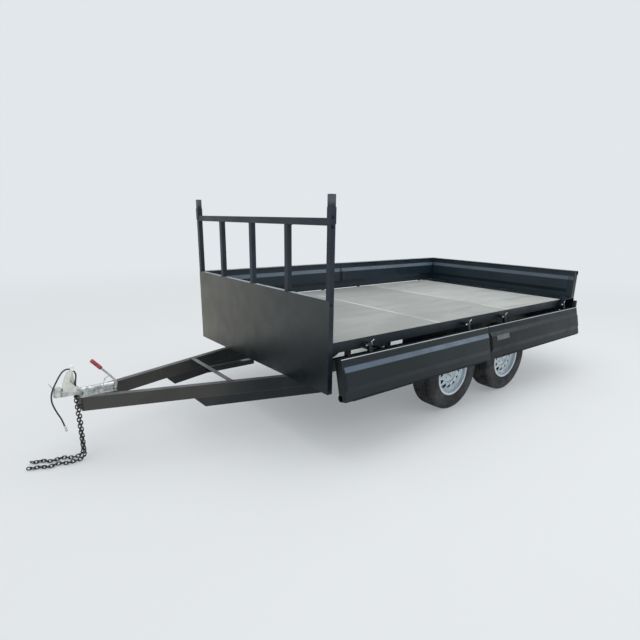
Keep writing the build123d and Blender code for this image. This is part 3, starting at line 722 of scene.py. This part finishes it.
class TRAILER_OT_wheels(bpy.types.Operator):
    """Silver finish on the wheels, with their nuts, dust caps and valves"""

    bl_idname = "trailer.wheels"
    bl_label = "Wheel Fittings"

    studs, stud_circle, stud_out = 5, 0.057, 0.052
    cap_out = 0.078
    valve_circle, valve_out, valve_angle = 0.157, 0.0535, -52
    cap = [(0, 0.0255), (0.003, 0.0255), (0.008, 0.0235), (0.012, 0.0185), (0.0145, 0.011), (0.0152, 0.003)]
    stem = [
        (0, 0.0058), (0.004, 0.0056), (0.006, 0.0038), (0.02, 0.0036), (0.0202, 0.0045), (0.029, 0.0045),
        (0.0305, 0.0032),
    ]
    windows, window_low, window_high, window_soft = 12.0, 0.1, 0.146, 0.08
    disc_back = 0.046
    # painted shade for what is seen inside the wheel, through the windows and behind the disc
    inside = (0.006, 0.007, 0.007)

    def shade_windows(self, silver, centre):
        """Paints shade on the rounded lips of the windows around the disc, where the dark drum would show.
        """
        finish = Shading(silver)
        base = finish.nodes["Principled BSDF"].inputs["Base Color"]
        tone = base.links[0].from_socket
        way, radius = finish.reach(centre, (1, 0, 1))
        flat = finish.node("SeparateXYZ", "X", {"Vector": way}).node.outputs
        turn = finish.maths("ARCTAN2", flat["Z"], flat["X"])
        wave = finish.maths("COSINE", finish.times(turn, self.windows))
        opening = finish.eased(radius, self.window_low, self.window_high, 1.05, -0.35)
        past = finish.maths("SUBTRACT", wave, opening)
        window = finish.eased(past, -self.window_soft, self.window_soft)
        within = finish.eased(radius, self.window_high, self.window_high + 0.003, 1.0, 0.0)
        finish.put(base, finish.mixed(finish.times(window, within), tone, self.inside))

    def around(self, point, radius, degrees):
        """A place at a radius and an angle around a point on the axle line."""
        angle = math.radians(degrees)
        return point + radius * (X * math.cos(angle) + Z * math.sin(angle))

    def execute(self, context):
        zinc = zinc_finish()
        for word, side in CORNERS:
            centre, out, body = middle(f"tyre_{word}"), Y * side, f"wheel_{word}"
            back = abs(centre.y) + self.disc_back
            silver = metal(
                f"wheel_silver_{word}", colours().wheels, (0.54, 0.62, 0.67), 0.36, 0.25, 8.0, 300.0,
                # painted shade inside the disc's back
                fades=[(-out, -back, -back + 0.002, self.inside)],
            )
            self.shade_windows(silver, centre)
            dress(silver, f"rim_{word}")
            nuts = []
            for number in range(self.studs):
                turn = 90 + 360 / self.studs * number
                spot = self.around(centre + out * self.stud_out, self.stud_circle, turn)
                nuts.append(facing(spot, out, math.radians(turn)))
            nut = hex_bolt("nut", sizes().wheel_nut, 0.004)
            carried(repeated(nut, nuts, f"wheel_nuts_{word}"), body, zinc)
            hub = facing(centre + out * self.cap_out, out)
            carried(repeated(lofted("dome", self.cap, 36), [hub], f"dust_cap_{word}"), body, zinc)
            spot = self.around(centre + out * self.valve_out, self.valve_circle, self.valve_angle)
            valve = repeated(lofted("stem", self.stem, 14), [facing(spot, out)], f"valve_{word}")
            carried(valve, body, bpy.data.materials["tyre_rubber_finish"])
        return {"FINISHED"}


class TRAILER_OT_hinges(bpy.types.Operator):
    """Washers and bright spring clips on the hinge pins of the drop sides and the tailgate"""

    bl_idname = "trailer.hinges"
    bl_label = "Hinge Hardware"

    insets = {"front": (0.331, 0.230), "rear": (0.362, 0.212)}
    tailgate_pins = (-0.8, 0.0, 0.8)
    pin_end = 0.0215
    washer = [(0, 0.0092), (0.0004, 0.0098), (0.0018, 0.0098), (0.0022, 0.0092)]
    rod = [(0, 0.0056), (0.0095, 0.0056), (0.011, 0.0044)]
    clip_out, clip_below, clip_in = 0.0066, 0.012, 0.003
    clip_rise, clip_bend, clip_lean, clip_tail = 0.026, 0.008, 62, 0.030

    def clip(self, name, pin, way):
        """A spring clip that stands through a pin's end, with its tail leaning away from the hinge."""
        start = pin - way * (self.pin_end + self.clip_out) - Z * self.clip_below
        bend = start + Z * self.clip_rise + way * self.clip_bend
        runs = [self.clip_rise, (bend, way.cross(Z), self.clip_lean), self.clip_tail]
        return wire(name, start, Z, runs, sizes().wire)

    def hardware(self, name, axis_points, way, inward):
        """Washers at both ends of each pin and a clip at the end that way points away from."""
        ends = [
            facing(pin + way * self.pin_end * end, way * end) for pin in axis_points for end in (1, -1)
        ]
        fittings = [
            repeated(lofted("washer", self.washer, 24), ends, name + "_washers"),
            repeated(lofted("rod", self.rod, 16), ends, name + "_rods"),
        ]
        for number, pin in enumerate(axis_points):
            clip = self.clip(f"{name}_clip_{number}", pin, way)
            clip.data.transform(Matrix.Translation(inward * self.clip_in))
            fittings.append(clip)
        carried(joined(fittings, name), "trailer", zinc_finish())

    def execute(self, context):
        for word, side in CORNERS:
            pin = pins[f"side_{word}_drop"]
            low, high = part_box(f"side_{word}")
            front_inset, rear_inset = self.insets[word.split("_")[0]]
            points = [Vector((x, pin.y, pin.z)) for x in (high.x - front_inset, low.x + rear_inset)]
            self.hardware(f"hinge_clips_{word}", points, X, -Y * side)
        pin = pins["tailgate_drop"]
        points = [Vector((pin.x, y, pin.z)) for y in self.tailgate_pins]
        self.hardware("hinge_clips_tailgate", points, Y, X)
        return {"FINISHED"}


class TRAILER_OT_coupling(bpy.types.Operator):
    """Finishes of the coupling and brake lever, with their bolts and the ribbed red grip"""

    bl_idname = "trailer.coupling"
    bl_label = "Coupling Fittings"

    plate_top = -0.041
    flange_bolts = [(-0.150, 0.062), (-0.150, -0.062), (-0.228, 0.073), (-0.228, -0.073)]
    side_bolts = [
        ((-0.363, 0.0505, -0.028), Y, 0.0), ((-0.363, -0.0335, -0.028), -Y, 0.0),
        ((-0.126, 0.0198, -0.004), Y, 0.3), ((-0.126, -0.0198, -0.004), -Y, 0.3),
    ]
    lever_end = Vector((-0.283, 0.044, 0.129))
    grip_way = Vector((0.643, 0, 0.766))
    ribs, rib_pitch, rib_radius, groove_radius = 9, 0.0088, 0.0143, 0.0132

    def grip_rings(self):
        rings = [(0, 0.0130), (0.001, 0.0140)]
        for number in range(self.ribs):
            start = 0.006 + number * self.rib_pitch
            rings += [
                (start, self.rib_radius), (start + 0.0012, self.groove_radius),
                (start + 0.0034, self.groove_radius), (start + 0.0046, self.rib_radius),
            ]
        return rings + [(0.086, self.rib_radius), (0.0895, 0.0120), (0.0908, 0.0070)]

    def execute(self, context):
        zinc = zinc_finish()
        dress(zinc, "coupling_housing")
        cast = metal("cast_zinc", (0.66, 0.68, 0.66), (0.46, 0.48, 0.46), 0.36, 0.55, 22.0, 120.0)
        plate = metal("lever_plate", (0.8, 0.79, 0.73), (0.62, 0.62, 0.57), 0.36, 0.5)
        steel = metal("lever_steel", (0.5, 0.51, 0.52), (0.34, 0.35, 0.36), 0.36, 0.6)
        plastic = moulded("knob_plastic", (0.93, 0.94, 0.94), (0.84, 0.85, 0.85), 0.35, 40.0, 300.0, 0.1)
        dress(cast, "coupling_head")
        dress(plate, "coupling_lever")
        dress(steel, "handbrake_lever")
        dress(plastic, "lever_knob")
        places = [facing(Vector((x, y, self.plate_top)), Z, x * 40 + y * 9) for x, y in self.flange_bolts]
        places += [facing(Vector(spot), way, roll) for spot, way, roll in self.side_bolts]
        bolts = repeated(hex_bolt("flange_bolt", sizes().bolt * 0.92, 0.003), places, "coupling_bolts")
        carried(bolts, "trailer", zinc)
        upright = lofted("grip", self.grip_rings(), 24)
        grip = repeated(upright, [facing(self.lever_end, self.grip_way)], "ribbed_grip")
        red = moulded("grip_rubber", colours().grip, (0.22, 0.025, 0.035), 0.5, 50.0, 500.0, 0.2)
        carried(grip, "trailer", red, ["handbrake_grip"])
        return {"FINISHED"}


class TRAILER_OT_springs(bpy.types.Operator):
    """U-bolts, clamp plates and eye nuts of the leaf springs"""

    bl_idname = "trailer.springs"
    bl_label = "Spring Fittings"

    top, leg_x, leg_y, leg_below, rod = -0.120, 0.034, 0.036, 0.024, 0.006
    plate_top, plate_low, plate_x, plate_y = -0.2152, -0.2232, 0.049, 0.05
    rail_half = 0.025
    eye_in, eye_z, nut_in = 0.015, -0.0695, 0.0049

    def execute(self, context):
        rods, plates, nuts = [], [], []
        spring_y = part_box("main_rails")[1].y - self.rail_half
        axles = [middle(f"axle_{row}").x for row in ROWS]
        for row, axle_x in zip(ROWS, axles):
            for side in (1, -1):
                spring = Vector((axle_x, side * spring_y, 0))
                for way in (1, -1):
                    bend = spring + X * way * self.leg_x + Z * self.top
                    foot = bend + Y * -self.leg_y + Z * (self.plate_top - self.leg_below - self.top)
                    leg = bend.z - foot.z
                    runs = [leg, (bend, X, -180), leg]
                    rods.append(wire(f"u_bolt_{row}_{side}_{way}", foot, Z, runs, self.rod))
                    for out in (self.leg_y, -self.leg_y):
                        nuts.append(facing(Vector((bend.x, bend.y + out, self.plate_low)), -Z, 0.4))
                corner = Vector((self.plate_x, self.plate_y, 0))
                plate = block(
                    f"clamp_{row}_{side}",
                    spring - corner + Z * self.plate_low,
                    spring + corner + Z * self.plate_top,
                )
                plates.append(rounded(plate, 0.0015))
        carried(joined(rods + plates, "spring_u_bolts"), "trailer", black_finish())
        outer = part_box("spring_hangers")[1].y - self.nut_in
        inner = 2 * spring_y - outer
        rear_eye, front_eye = (corner.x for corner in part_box("leaf_springs"))
        front_eye, rear_eye = front_eye - self.eye_in, rear_eye + self.eye_in
        half = front_eye - axles[0]
        for x in (front_eye, axles[0] - half, axles[1] + half, rear_eye):
            for side in (1, -1):
                nuts.append(facing(Vector((x, outer * side, self.eye_z)), Y * side, 0.2))
                nuts.append(facing(Vector((x, inner * side, self.eye_z)), -Y * side, 0.5))
        spring_nuts = repeated(hex_bolt("spring_nut", 0.0068, 0.004), nuts, "spring_nuts")
        carried(spring_nuts, "trailer", zinc_finish())
        return {"FINISHED"}


class TRAILER_OT_welds(bpy.types.Operator):
    """Weld beads at the joints of the frame, rack, drawbar and deck sheets, and the post bolts"""

    bl_idname = "trailer.welds"
    bl_label = "Welds and Bolts"

    step = 0.024
    lumps, lump_pitch = 5, 0.0046
    slats, slat_half = (-0.54, -0.005, 0.517), 0.020
    tube, edge = 0.05, 0.004
    crossbar_wide, crossbar_run = 0.04, 0.024
    bar_deep = 0.098
    nose_plate = (-0.128, 0.083)
    board_x, bar_wide, bar_slope, bar_back = -1.534, 0.0525, 0.323, 0.352
    deck_inset, deck_sunk = 0.03, 0.0022
    post_face, post_in = 1.0495, 0.0235
    collar_face, collar_in = 1.0528, 0.023

    def bead(self):
        radius = sizes().bead
        rings = [(0, radius * 0.5), (0.001, radius * 0.85)]
        for number in range(self.lumps):
            start = 0.002 + number * self.lump_pitch
            rings += [(start, radius), (start + self.lump_pitch / 2, radius * 0.84)]
        rings += [(0.0245, radius * 0.7), (0.0255, radius * 0.3)]
        return lofted("bead", rings, 8)

    def seam(self, start, end, every=1):
        """Where the beads of a weld from start to end lie."""
        way = Vector(end) - Vector(start)
        count = max(1, round(way.length / self.step))
        way.normalize()
        return [facing(Vector(start) + way * self.step * number, way) for number in range(0, count, every)]

    def rack_seams(self):
        low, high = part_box("ladder_rack")
        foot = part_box("headboard_rails")[1].z
        back, front, under = low.x + self.edge, high.x - self.edge, high.z - self.tube
        seams = []
        for share in self.slats:
            y = share * high.y
            for z in (foot, under):
                for out in (self.slat_half, -self.slat_half):
                    seams += self.seam((back, y + out, z), (front, y + out, z))
                for x in (high.x, low.x):
                    seams += self.seam((x, y - 0.018, z), (x, y + 0.018, z))
        for y in (high.y, -high.y):
            for z in (under, high.z, foot - 0.04, foot):
                seams += self.seam((back, y, z), (front, y, z))
        return seams

    def drawbar_seams(self):
        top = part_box("drawbar_nose")[1].z
        lap = top + 0.0005
        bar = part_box("drawbar_crossbar")[1]
        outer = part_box("drawbar_left")[1].y - self.bar_slope * self.bar_back
        plate_x, plate_y = self.nose_plate
        seams = []
        for side in (1, -1):
            start = side * (bar.y - 0.022)
            for x in (bar.x - self.crossbar_wide, bar.x):
                seams += self.seam((x, start, lap), (x, start + side * self.crossbar_run, lap))
            for x, y, end in (
                (plate_x, plate_y, top - self.edge),
                (self.board_x, outer, top),
                (self.board_x, outer - self.bar_wide, top),
            ):
                seams += self.seam((x, side * y, top - self.bar_deep), (x, side * y, end))
        return seams

    def deck_seams(self):
        seams = []
        for node in ("deck_front", "deck_middle"):
            low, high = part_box(node)
            z = high.z - self.deck_sunk
            seams += self.seam((low.x, low.y + self.deck_inset, z), (low.x, high.y - self.deck_inset, z), 4)
        return seams

    def post_bolts(self):
        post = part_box("headboard_posts")[1]
        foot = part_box("headboard_rails")[1].z
        post_x, collar_x, collar = post.x - self.post_in, post.x - self.collar_in, post.z - 0.145
        bolts = []
        for side in (1, -1):
            for x, y, z, roll in (
                (post_x, self.post_face, foot - 0.03, 0.2),
                (post_x, self.post_face, -0.02, 0.5),
                (collar_x, self.collar_face, collar, 0.2),
                (collar_x, self.collar_face, collar - 0.06, 0.2),
            ):
                bolts.append(facing(Vector((x, side * y, z)), Y * side, roll))
        return bolts

    def execute(self, context):
        black = black_finish()
        scale = metal("deck_weld", (0.5, 0.51, 0.49), (0.33, 0.34, 0.33), 0.5, 0.5, 60.0)
        bolt = hex_bolt("post_bolt", sizes().bolt, 0.003)
        for name, places, shape, slot, finish in (
            ("frame_welds", self.rack_seams() + self.drawbar_seams(), self.bead(), "black_paint", black),
            ("deck_welds", self.deck_seams(), self.bead(), "deck_steel", scale),
            ("post_bolts", self.post_bolts(), bolt, "black_paint", black),
        ):
            carried(repeated(shape, places, name), "trailer", finish)
        return {"FINISHED"}


class TRAILER_OT_guards(bpy.types.Operator):
    """Guard sheets ahead of the wheels, under the deck, and short flaps behind them"""

    bl_idname = "trailer.guards"
    bl_label = "Wheel Guards"

    front_x, rear_x, rail_in, deep = -2.74, -3.117, 0.005, 0.206
    flap_inner, flap_outer, flap_bottom, flap_lap = 0.65, 1.02, 0.03, 0.04
    thick = 0.003

    def execute(self, context):
        rail_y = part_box("main_rails")[1].y - self.rail_in
        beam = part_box("cross_members")[0].z
        low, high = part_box("rear_sill")
        sheets = []
        for side in (1, -1):
            for start, end in (
                ((self.rear_x, rail_y, beam - self.deep), (self.front_x, rail_y + self.thick, beam)),
                (
                    (high.x, self.flap_inner, self.flap_bottom),
                    (high.x + self.thick, self.flap_outer, low.z + self.flap_lap),
                ),
            ):
                mirror = Vector((1, side, 1))
                sheets.append(block("guard", Vector(start) * mirror, Vector(end) * mirror))
        carried(joined(sheets, "wheel_guards"), "trailer", black_finish())
        return {"FINISHED"}


class TRAILER_OT_lamps(bpy.types.Operator):
    """Tail lamps with a black body and ribbed red and amber lenses"""

    bl_idname = "trailer.lamps"
    bl_label = "Tail Lamps"

    wide, rim = 0.15, 0.006
    amber_wide, split_half = 0.052, 0.0005
    body_back, lens_back, lens_front = 0.012, 0.003, 0.017
    ribs = 12

    def lens_plastic(self, name, colour, worn):
        plastic = moulded(name, colour, worn, 0.25, 20.0, 200.0, 0.1)
        shader = plastic.node_tree.nodes["Principled BSDF"]
        shader.inputs["Coat Weight"].default_value = 0.6
        shader.inputs["Coat Roughness"].default_value = 0.08
        return plastic

    def body(self, word, start, end):
        base = block(f"lamp_body_{word}", start, end)
        pick_faces(base, lambda centre, normal: normal.x < -0.9)
        bpy.ops.mesh.inset(thickness=0.005)
        push(-0.004)
        leave_edit()
        return rounded(base, 0.003)

    def lens(self, name, start, end, foot):
        """A lens with ribs on its outer face, whose steps are counted up from foot."""
        lens = block(name, start, end)
        pick_faces(lens, lambda centre, normal: normal.x < -0.9)
        bpy.ops.mesh.subdivide(number_cuts=self.ribs - 1)
        leave_edit()
        pitch = (end.z - start.z) / self.ribs
        middle_y, reach = (start.y + end.y) / 2, abs(end.y - start.y) / 2 - self.rim
        pick_faces(
            lens,
            lambda centre, normal: normal.x < -0.9
            and int((centre.z - foot) / pitch) % 2 == 0
            and abs(centre.y - middle_y) < reach,
        )
        push(0.0018)
        leave_edit()
        return rounded(lens, 0.0012)

    def execute(self, context):
        low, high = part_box("tail_lamps")
        amber = self.lens_plastic("amber_lens", (0.6, 0.2, 0.012), (0.5, 0.15, 0.01))
        red = self.lens_plastic("red_lens", colours().lens, (0.3, 0.008, 0.008))
        black = moulded("lamp_body", (0.014, 0.014, 0.015), (0.026, 0.026, 0.027), 0.5, 40.0, 400.0, 0.2)
        for word, side in SIDES:
            outer, inner = side * high.y, side * (high.y - self.wide)
            split = outer - side * self.amber_wide
            start, end = Vector((low.x + self.body_back, outer, low.z)), Vector((high.x, inner, high.z))
            body = self.body(word, start, end)
            carried(body, "trailer", black, ["tail_lamps"] if side == 1 else [])
            for colour, plastic, near, far in (
                ("amber", amber, outer - side * self.rim, split + side * self.split_half),
                ("red", red, split - side * self.split_half, inner + side * self.rim),
            ):
                start = Vector((low.x + self.lens_back, near, low.z + self.rim))
                end = Vector((low.x + self.lens_front, far, high.z - self.rim))
                lens = self.lens(f"lamp_{colour}_{word}", start, end, low.z)
                carried(lens, "trailer", plastic)
        return {"FINISHED"}


class TRAILER_OT_steelwork(bpy.types.Operator):
    """Paint on the headboard, ladder rack, drawbar, chassis, sill and running gear"""

    bl_idname = "trailer.steelwork"
    bl_label = "Painted Steelwork"

    def headboard(self, look):
        sheet = paint(
            "headboard_paint", look.headboard, (0.096, 0.094, 0.08), 0.4, 1.3,
            # painted reflection: the sheet grows lighter and darker across its face, darkest low down where
            # it mirrors the drawbar
            fades=[
                ((0, -0.7, -0.7), 0.1, 0.85, (0.158, 0.146, 0.112)),
                (Y, -0.9, 1.0, (0.038, 0.044, 0.044)),
                ((0, 0.23, -1), -0.3, 0.06, (0.004, 0.008, 0.011)),
            ],
        )
        rail_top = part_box("headboard_rails")[1].z
        rails = paint(
            "headboard_frame", look.steelwork, (0.016, 0.022, 0.028), 0.38, 3.0,
            # painted highlight: a pale blue-grey upper face on the rails
            top=(rail_top, (0.26, 0.29, 0.31)),
        )
        post_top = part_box("headboard_posts")[1].z
        posts = paint(
            "post_paint", look.steelwork, (0.014, 0.024, 0.037), 0.32, 5.0,
            # painted highlight: the posts turn pale over their top few centimetres
            fades=[(Z, post_top - 0.075, post_top - 0.04, (0.075, 0.09, 0.095))],
        )
        dress(sheet, "headboard_sheet")
        dress(rails, "headboard_rails")
        dress(posts, "headboard_posts", "ladder_rack")

    def drawbar(self, look):
        rearward = [(-X, 0.75, 1.4, (0.01, 0.013, 0.015))]
        tops = {node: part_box(node)[1].z for node in ("drawbar_left", "drawbar_crossbar", "drawbar_braces")}
        bars = paint(
            "drawbar_paint", look.drawbar, (0.062, 0.06, 0.055), 0.44, 3.2,
            # a lighter upper face: dust, and a painted highlight
            top=(tops["drawbar_left"], (0.1, 0.105, 0.108)), fades=rearward,
        )
        cross_top = tops["drawbar_crossbar"]
        # painted highlight: a pale sheen across the crossbar's top near its rear end, over a lighter upper
        # face
        highlight_end = (Z, cross_top - 0.0055, cross_top)
        crossbar = paint(
            "crossbar_paint", (0.014, 0.017, 0.019), (0.024, 0.027, 0.028), 0.42, 3.2,
            top=(cross_top, (0.15, 0.155, 0.155)),
            painted_highlights=[(-X, 1.44, 1.525, highlight_end, (0.5, 0.51, 0.5), 0.02)],
        )
        braces = paint(
            "brace_paint", (0.02, 0.023, 0.024), (0.034, 0.036, 0.035), 0.46, 3.2,
            # the upper faces take the dust colour: dust, and a painted highlight
            top=(tops["drawbar_braces"], look.dust), fades=rearward,
        )
        dress(bars, "drawbar_left", "drawbar_right", "drawbar_nose")
        dress(crossbar, "drawbar_crossbar")
        dress(braces, "drawbar_braces")

    def execute(self, context):
        self.headboard(colours())
        self.drawbar(colours())
        dusty = paint(
            "chassis_paint", (0.01, 0.012, 0.013), (0.02, 0.021, 0.021), 0.5, 2.4, dust=(0.06, 0.058, 0.053)
        )
        dress(dusty, "main_rails", "cross_members", "spring_hangers", "leaf_springs")
        dress(dusty, *(f"axle_{row}" for row in ROWS))
        dress(black_finish(), "side_rail_left", "side_rail_right", "rear_sill")
        plate = metal("blank_plate_grey", (0.14, 0.155, 0.155), (0.09, 0.1, 0.1), 0.5, 0.3)
        dress(plate, "blank_plate")
        return {"FINISHED"}


class TRAILER_OT_panels(bpy.types.Operator):
    """Blue-black enamel on the drop sides and the tailgate, with a painted reflection on their bevels"""

    bl_idname = "trailer.panels"
    bl_label = "Drop Sides and Tailgate"

    splay = 13
    hinge_drop = 0.054
    bevel = (0.062, 0.1)
    gate_band = (0.103, 0.062)
    # painted highlight: a pale line along the hanging sides' upper edge
    bright_edge = (0.0022, 0.0075)
    end_cap, gate_cap = (0.003, 0.0015), 0.004
    band_inset = 0.018
    # painted shade on the end caps of the sides and the tailgate
    end_shade = (0.004, 0.0065, 0.0075)

    def ends(self, way, place):
        """Painted shade that begins just inside a panel's end, at a place along a way."""
        cap_start, cap_full = self.end_cap
        return (way, place - cap_start, place - cap_full, self.end_shade)

    def hanging(self, look):
        """The left sides, which hang down from their hinges, with a painted highlight along their upper edge
        and a painted reflection on their bevel.
        """
        splay = math.radians(self.splay)
        down = Vector((0, math.sin(splay), -math.cos(splay)))
        edge = down.dot(pins["side_front_left_drop"]) + self.hinge_drop
        bevel_start, bevel_end = (edge + place for place in self.bevel)
        line_start, line_end = (edge + place for place in self.bright_edge)
        for row, base, aged, light, shine in (
            ("front", look.panels, (0.0115, 0.0175, 0.0225), look.panel_bevel_reflection, 0.25),
            # the rear side is a darker copy with a dimmed band: painted reflection of darker surroundings
            ("rear", (0.005, 0.0085, 0.01), (0.01, 0.0135, 0.015), (0.01, 0.016, 0.02), 0.17),
        ):
            low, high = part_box(f"side_{row}_left")
            within = (X, low.x + self.band_inset, high.x - self.band_inset)
            finish = paint(
                f"panel_{row}_left", base, aged, 0.27, 1.6, shine=shine,
                # painted reflection on the bevel, and a painted highlight line along the upper edge
                painted_highlights=[
                    (down, bevel_start, bevel_end, within, light, 0.003),
                    (down, line_start, line_end, None, (0.62, 0.66, 0.68), 0.0008),
                ],
                fades=[self.ends(X, high.x), self.ends(-X, -low.x)],
            )
            dress(finish, f"side_{row}_left")

    def standing(self):
        """The right sides and the tailgate, with a painted reflection in a band below their upper edge."""
        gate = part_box("tailgate")[1]
        band_low, band_high = (gate.z - place for place in self.gate_band)
        # painted reflection of the upward-facing bevel
        band = (Z, band_low, band_high, None)
        for row in ROWS:
            finish = paint(
                f"panel_{row}_right", (0.0125, 0.023, 0.034), (0.016, 0.027, 0.038), 0.3, 2.0,
                painted_highlights=[(*band, (0.1, 0.135, 0.172), 0.004)],
            )
            dress(finish, f"side_{row}_right")
        cap_start = gate.y - self.gate_cap
        finish = paint(
            "panel_tailgate", (0.013, 0.0245, 0.034), (0.018, 0.03, 0.038), 0.34, 2.0,
            painted_highlights=[(*band, (0.078, 0.102, 0.132), 0.006)],
            # painted shade on the tailgate's end
            fades=[(Y, cap_start, gate.y - self.end_cap[1], self.end_shade)],
        )
        dress(finish, "tailgate")

    def execute(self, context):
        self.hanging(colours())
        self.standing()
        return {"FINISHED"}


class TRAILER_OT_deck(bpy.types.Operator):
    """Stained pale steel on the three deck sheets"""

    bl_idname = "trailer.deck"
    bl_label = "Deck Sheets"

    stain = (0.27, 0.265, 0.245)

    def execute(self, context):
        for node, share in (("deck_front", 0.86), ("deck_middle", 0.93), ("deck_rear", 1.16)):
            colour = Vector(colours().deck) * share
            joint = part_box(node)[0].x
            dress(deck_plate(node + "_steel", tuple(colour), tuple(colour * 0.82), self.stain, joint), node)
        return {"FINISHED"}


class TRAILER_OT_studio(bpy.types.Operator):
    """Pale floor, soft lamps, backdrop and camera"""

    bl_idname = "trailer.studio"
    bl_label = "Studio"

    camera_place = (0.432, 3.469, 1.180)
    yaw, pitch, roll = 231.063, -15.796, 1.025
    shift = (-0.0107, 0.0455)
    sensor = 36
    backdrop = (0.755, 0.802, 0.825, 1)
    floor_centre, floor_wide = (-2.4, 0, 0), 90
    # glow_least is the painted glow's share near the trailer, which lightens its shadow
    glow_start, glow_full, glow_least = 3.5, 14.0, 0.3
    lamps = [
        ("overhead_lamp", (-3.0, 0.6, 5.4), (-3.0, 0.2, 0), 5.0, 110, (1.0, 0.99, 0.98)),
        ("rear_lamp", (-9.0, 5.0, 3.6), (-3.0, 1.0, 0), 3.0, 45, (0.95, 0.98, 1.0)),
    ]

    def camera(self, context):
        yaw, pitch, roll = (math.radians(a) for a in (self.yaw, self.pitch, self.roll))
        ahead = Vector((math.cos(pitch) * math.cos(yaw), math.cos(pitch) * math.sin(yaw), math.sin(pitch)))
        right = Vector((math.sin(yaw), -math.cos(yaw), 0))
        up = right.cross(ahead)
        side = right * math.cos(roll) + up * math.sin(roll)
        crown = up * math.cos(roll) - right * math.sin(roll)
        lens = bpy.data.cameras.new("camera")
        lens.lens = sizes().lens_focal * 1000
        lens.sensor_width = self.sensor
        lens.shift_x, lens.shift_y = self.shift
        lens.clip_end = 200
        camera = bpy.data.objects.new("camera", lens)
        context.scene.collection.objects.link(camera)
        turn = Matrix((side, crown, -ahead)).transposed().to_4x4()
        camera.matrix_world = Matrix.Translation(self.camera_place) @ turn
        context.scene.camera = camera

    def floor(self):
        """A matt floor that glows like the backdrop further away, so that no edge shows; nearer the trailer
        a smaller share of glow is painted light, which lightens its shadow.
        """
        deselect()
        below = Vector(self.floor_centre) + Z * (ground - 0.0002)
        bpy.ops.mesh.primitive_plane_add(size=self.floor_wide, location=below)
        plane = named("studio_floor")
        finish = Finish("floor_finish")
        colour = colours().floor
        tone = finish.mixed(finish.noise(0.5, 2.0), colour, tuple(0.97 * c for c in colour))
        finish.fill({"Base Color": tone, "Roughness": 0.75, "Specular IOR Level": 0.2})
        glow = finish.node("Emission", "Emission", {"Color": self.backdrop})
        _, reach = finish.reach(self.floor_centre)
        away = finish.eased(reach, self.glow_start, self.glow_full, self.glow_least, 1.0)
        finish.show("Material Output", finish.shader.outputs["BSDF"], glow, away)
        give(plane, finish.owner)

    def world(self, context):
        """Air that lights softly from above and that the camera sees as one plain tone."""
        context.scene.world = bpy.data.worlds.new("studio_air")
        air = Shading(context.scene.world)
        way = air.node("TexCoord", "Generated", {})
        height = air.node("SeparateXYZ", "Z", {"Vector": way})
        strength = air.eased(height, -0.1, 0.9, 0.66, 0.98)
        light = air.node("Background", "Background", {"Color": (0.96, 0.98, 1.0, 1), "Strength": strength})
        plain = air.nodes["Background"]
        air.put(plain.inputs["Color"], self.backdrop)
        air.show("World Output", light, plain.outputs["Background"])

    def lamp(self, context, name, place, aim, size, watts, colour):
        data = bpy.data.lights.new(name, "AREA")
        data.shape = "SQUARE"
        data.size = size
        data.energy = watts
        data.color = colour
        lamp = bpy.data.objects.new(name, data)
        context.scene.collection.objects.link(lamp)
        way = Vector(aim) - Vector(place)
        lamp.matrix_world = Matrix.Translation(place) @ way.to_track_quat("-Z", "Y").to_matrix().to_4x4()

    def execute(self, context):
        self.camera(context)
        self.floor()
        self.world(context)
        for lamp in self.lamps:
            self.lamp(context, *lamp)
        context.scene.view_settings.view_transform = "Standard"
        return {"FINISHED"}


OPERATORS = [
    TRAILER_OT_studio,
    TRAILER_OT_cable,
    TRAILER_OT_chains,
    TRAILER_OT_tyres,
    TRAILER_OT_wheels,
    TRAILER_OT_hinges,
    TRAILER_OT_coupling,
    TRAILER_OT_springs,
    TRAILER_OT_welds,
    TRAILER_OT_guards,
    TRAILER_OT_lamps,
    TRAILER_OT_steelwork,
    TRAILER_OT_panels,
    TRAILER_OT_deck,
]


class TRAILER_PT_panel(bpy.types.Panel):
    """Sidebar list of the trailer's pieces, colours and sizes"""

    bl_label = "Flatbed Trailer"
    bl_idname = "TRAILER_PT_panel"
    bl_space_type = "VIEW_3D"
    bl_region_type = "UI"
    bl_category = "Trailer"

    def draw(self, context):
        for settings in (context.scene.trailer_colours, context.scene.trailer_sizes):
            column = self.layout.column()
            for key in settings.__annotations__:
                column.prop(settings, key)
        column = self.layout.column()
        for operator in OPERATORS:
            column.operator(operator.bl_idname)


CLASSES = [TrailerColours, TrailerSizes, *OPERATORS, TRAILER_PT_panel]


def register():
    for each in CLASSES:
        bpy.utils.register_class(each)
    bpy.types.Scene.trailer_colours = bpy.props.PointerProperty(type=TrailerColours)
    bpy.types.Scene.trailer_sizes = bpy.props.PointerProperty(type=TrailerSizes)


def unregister():
    del bpy.types.Scene.trailer_sizes
    del bpy.types.Scene.trailer_colours
    for each in reversed(CLASSES):
        bpy.utils.unregister_class(each)


def main():
    """Makes every piece in order."""
    register()
    for operator in OPERATORS:
        getattr(bpy.ops.trailer, operator.bl_idname.split(".")[1])()


if __name__ == "__main__":
    main()
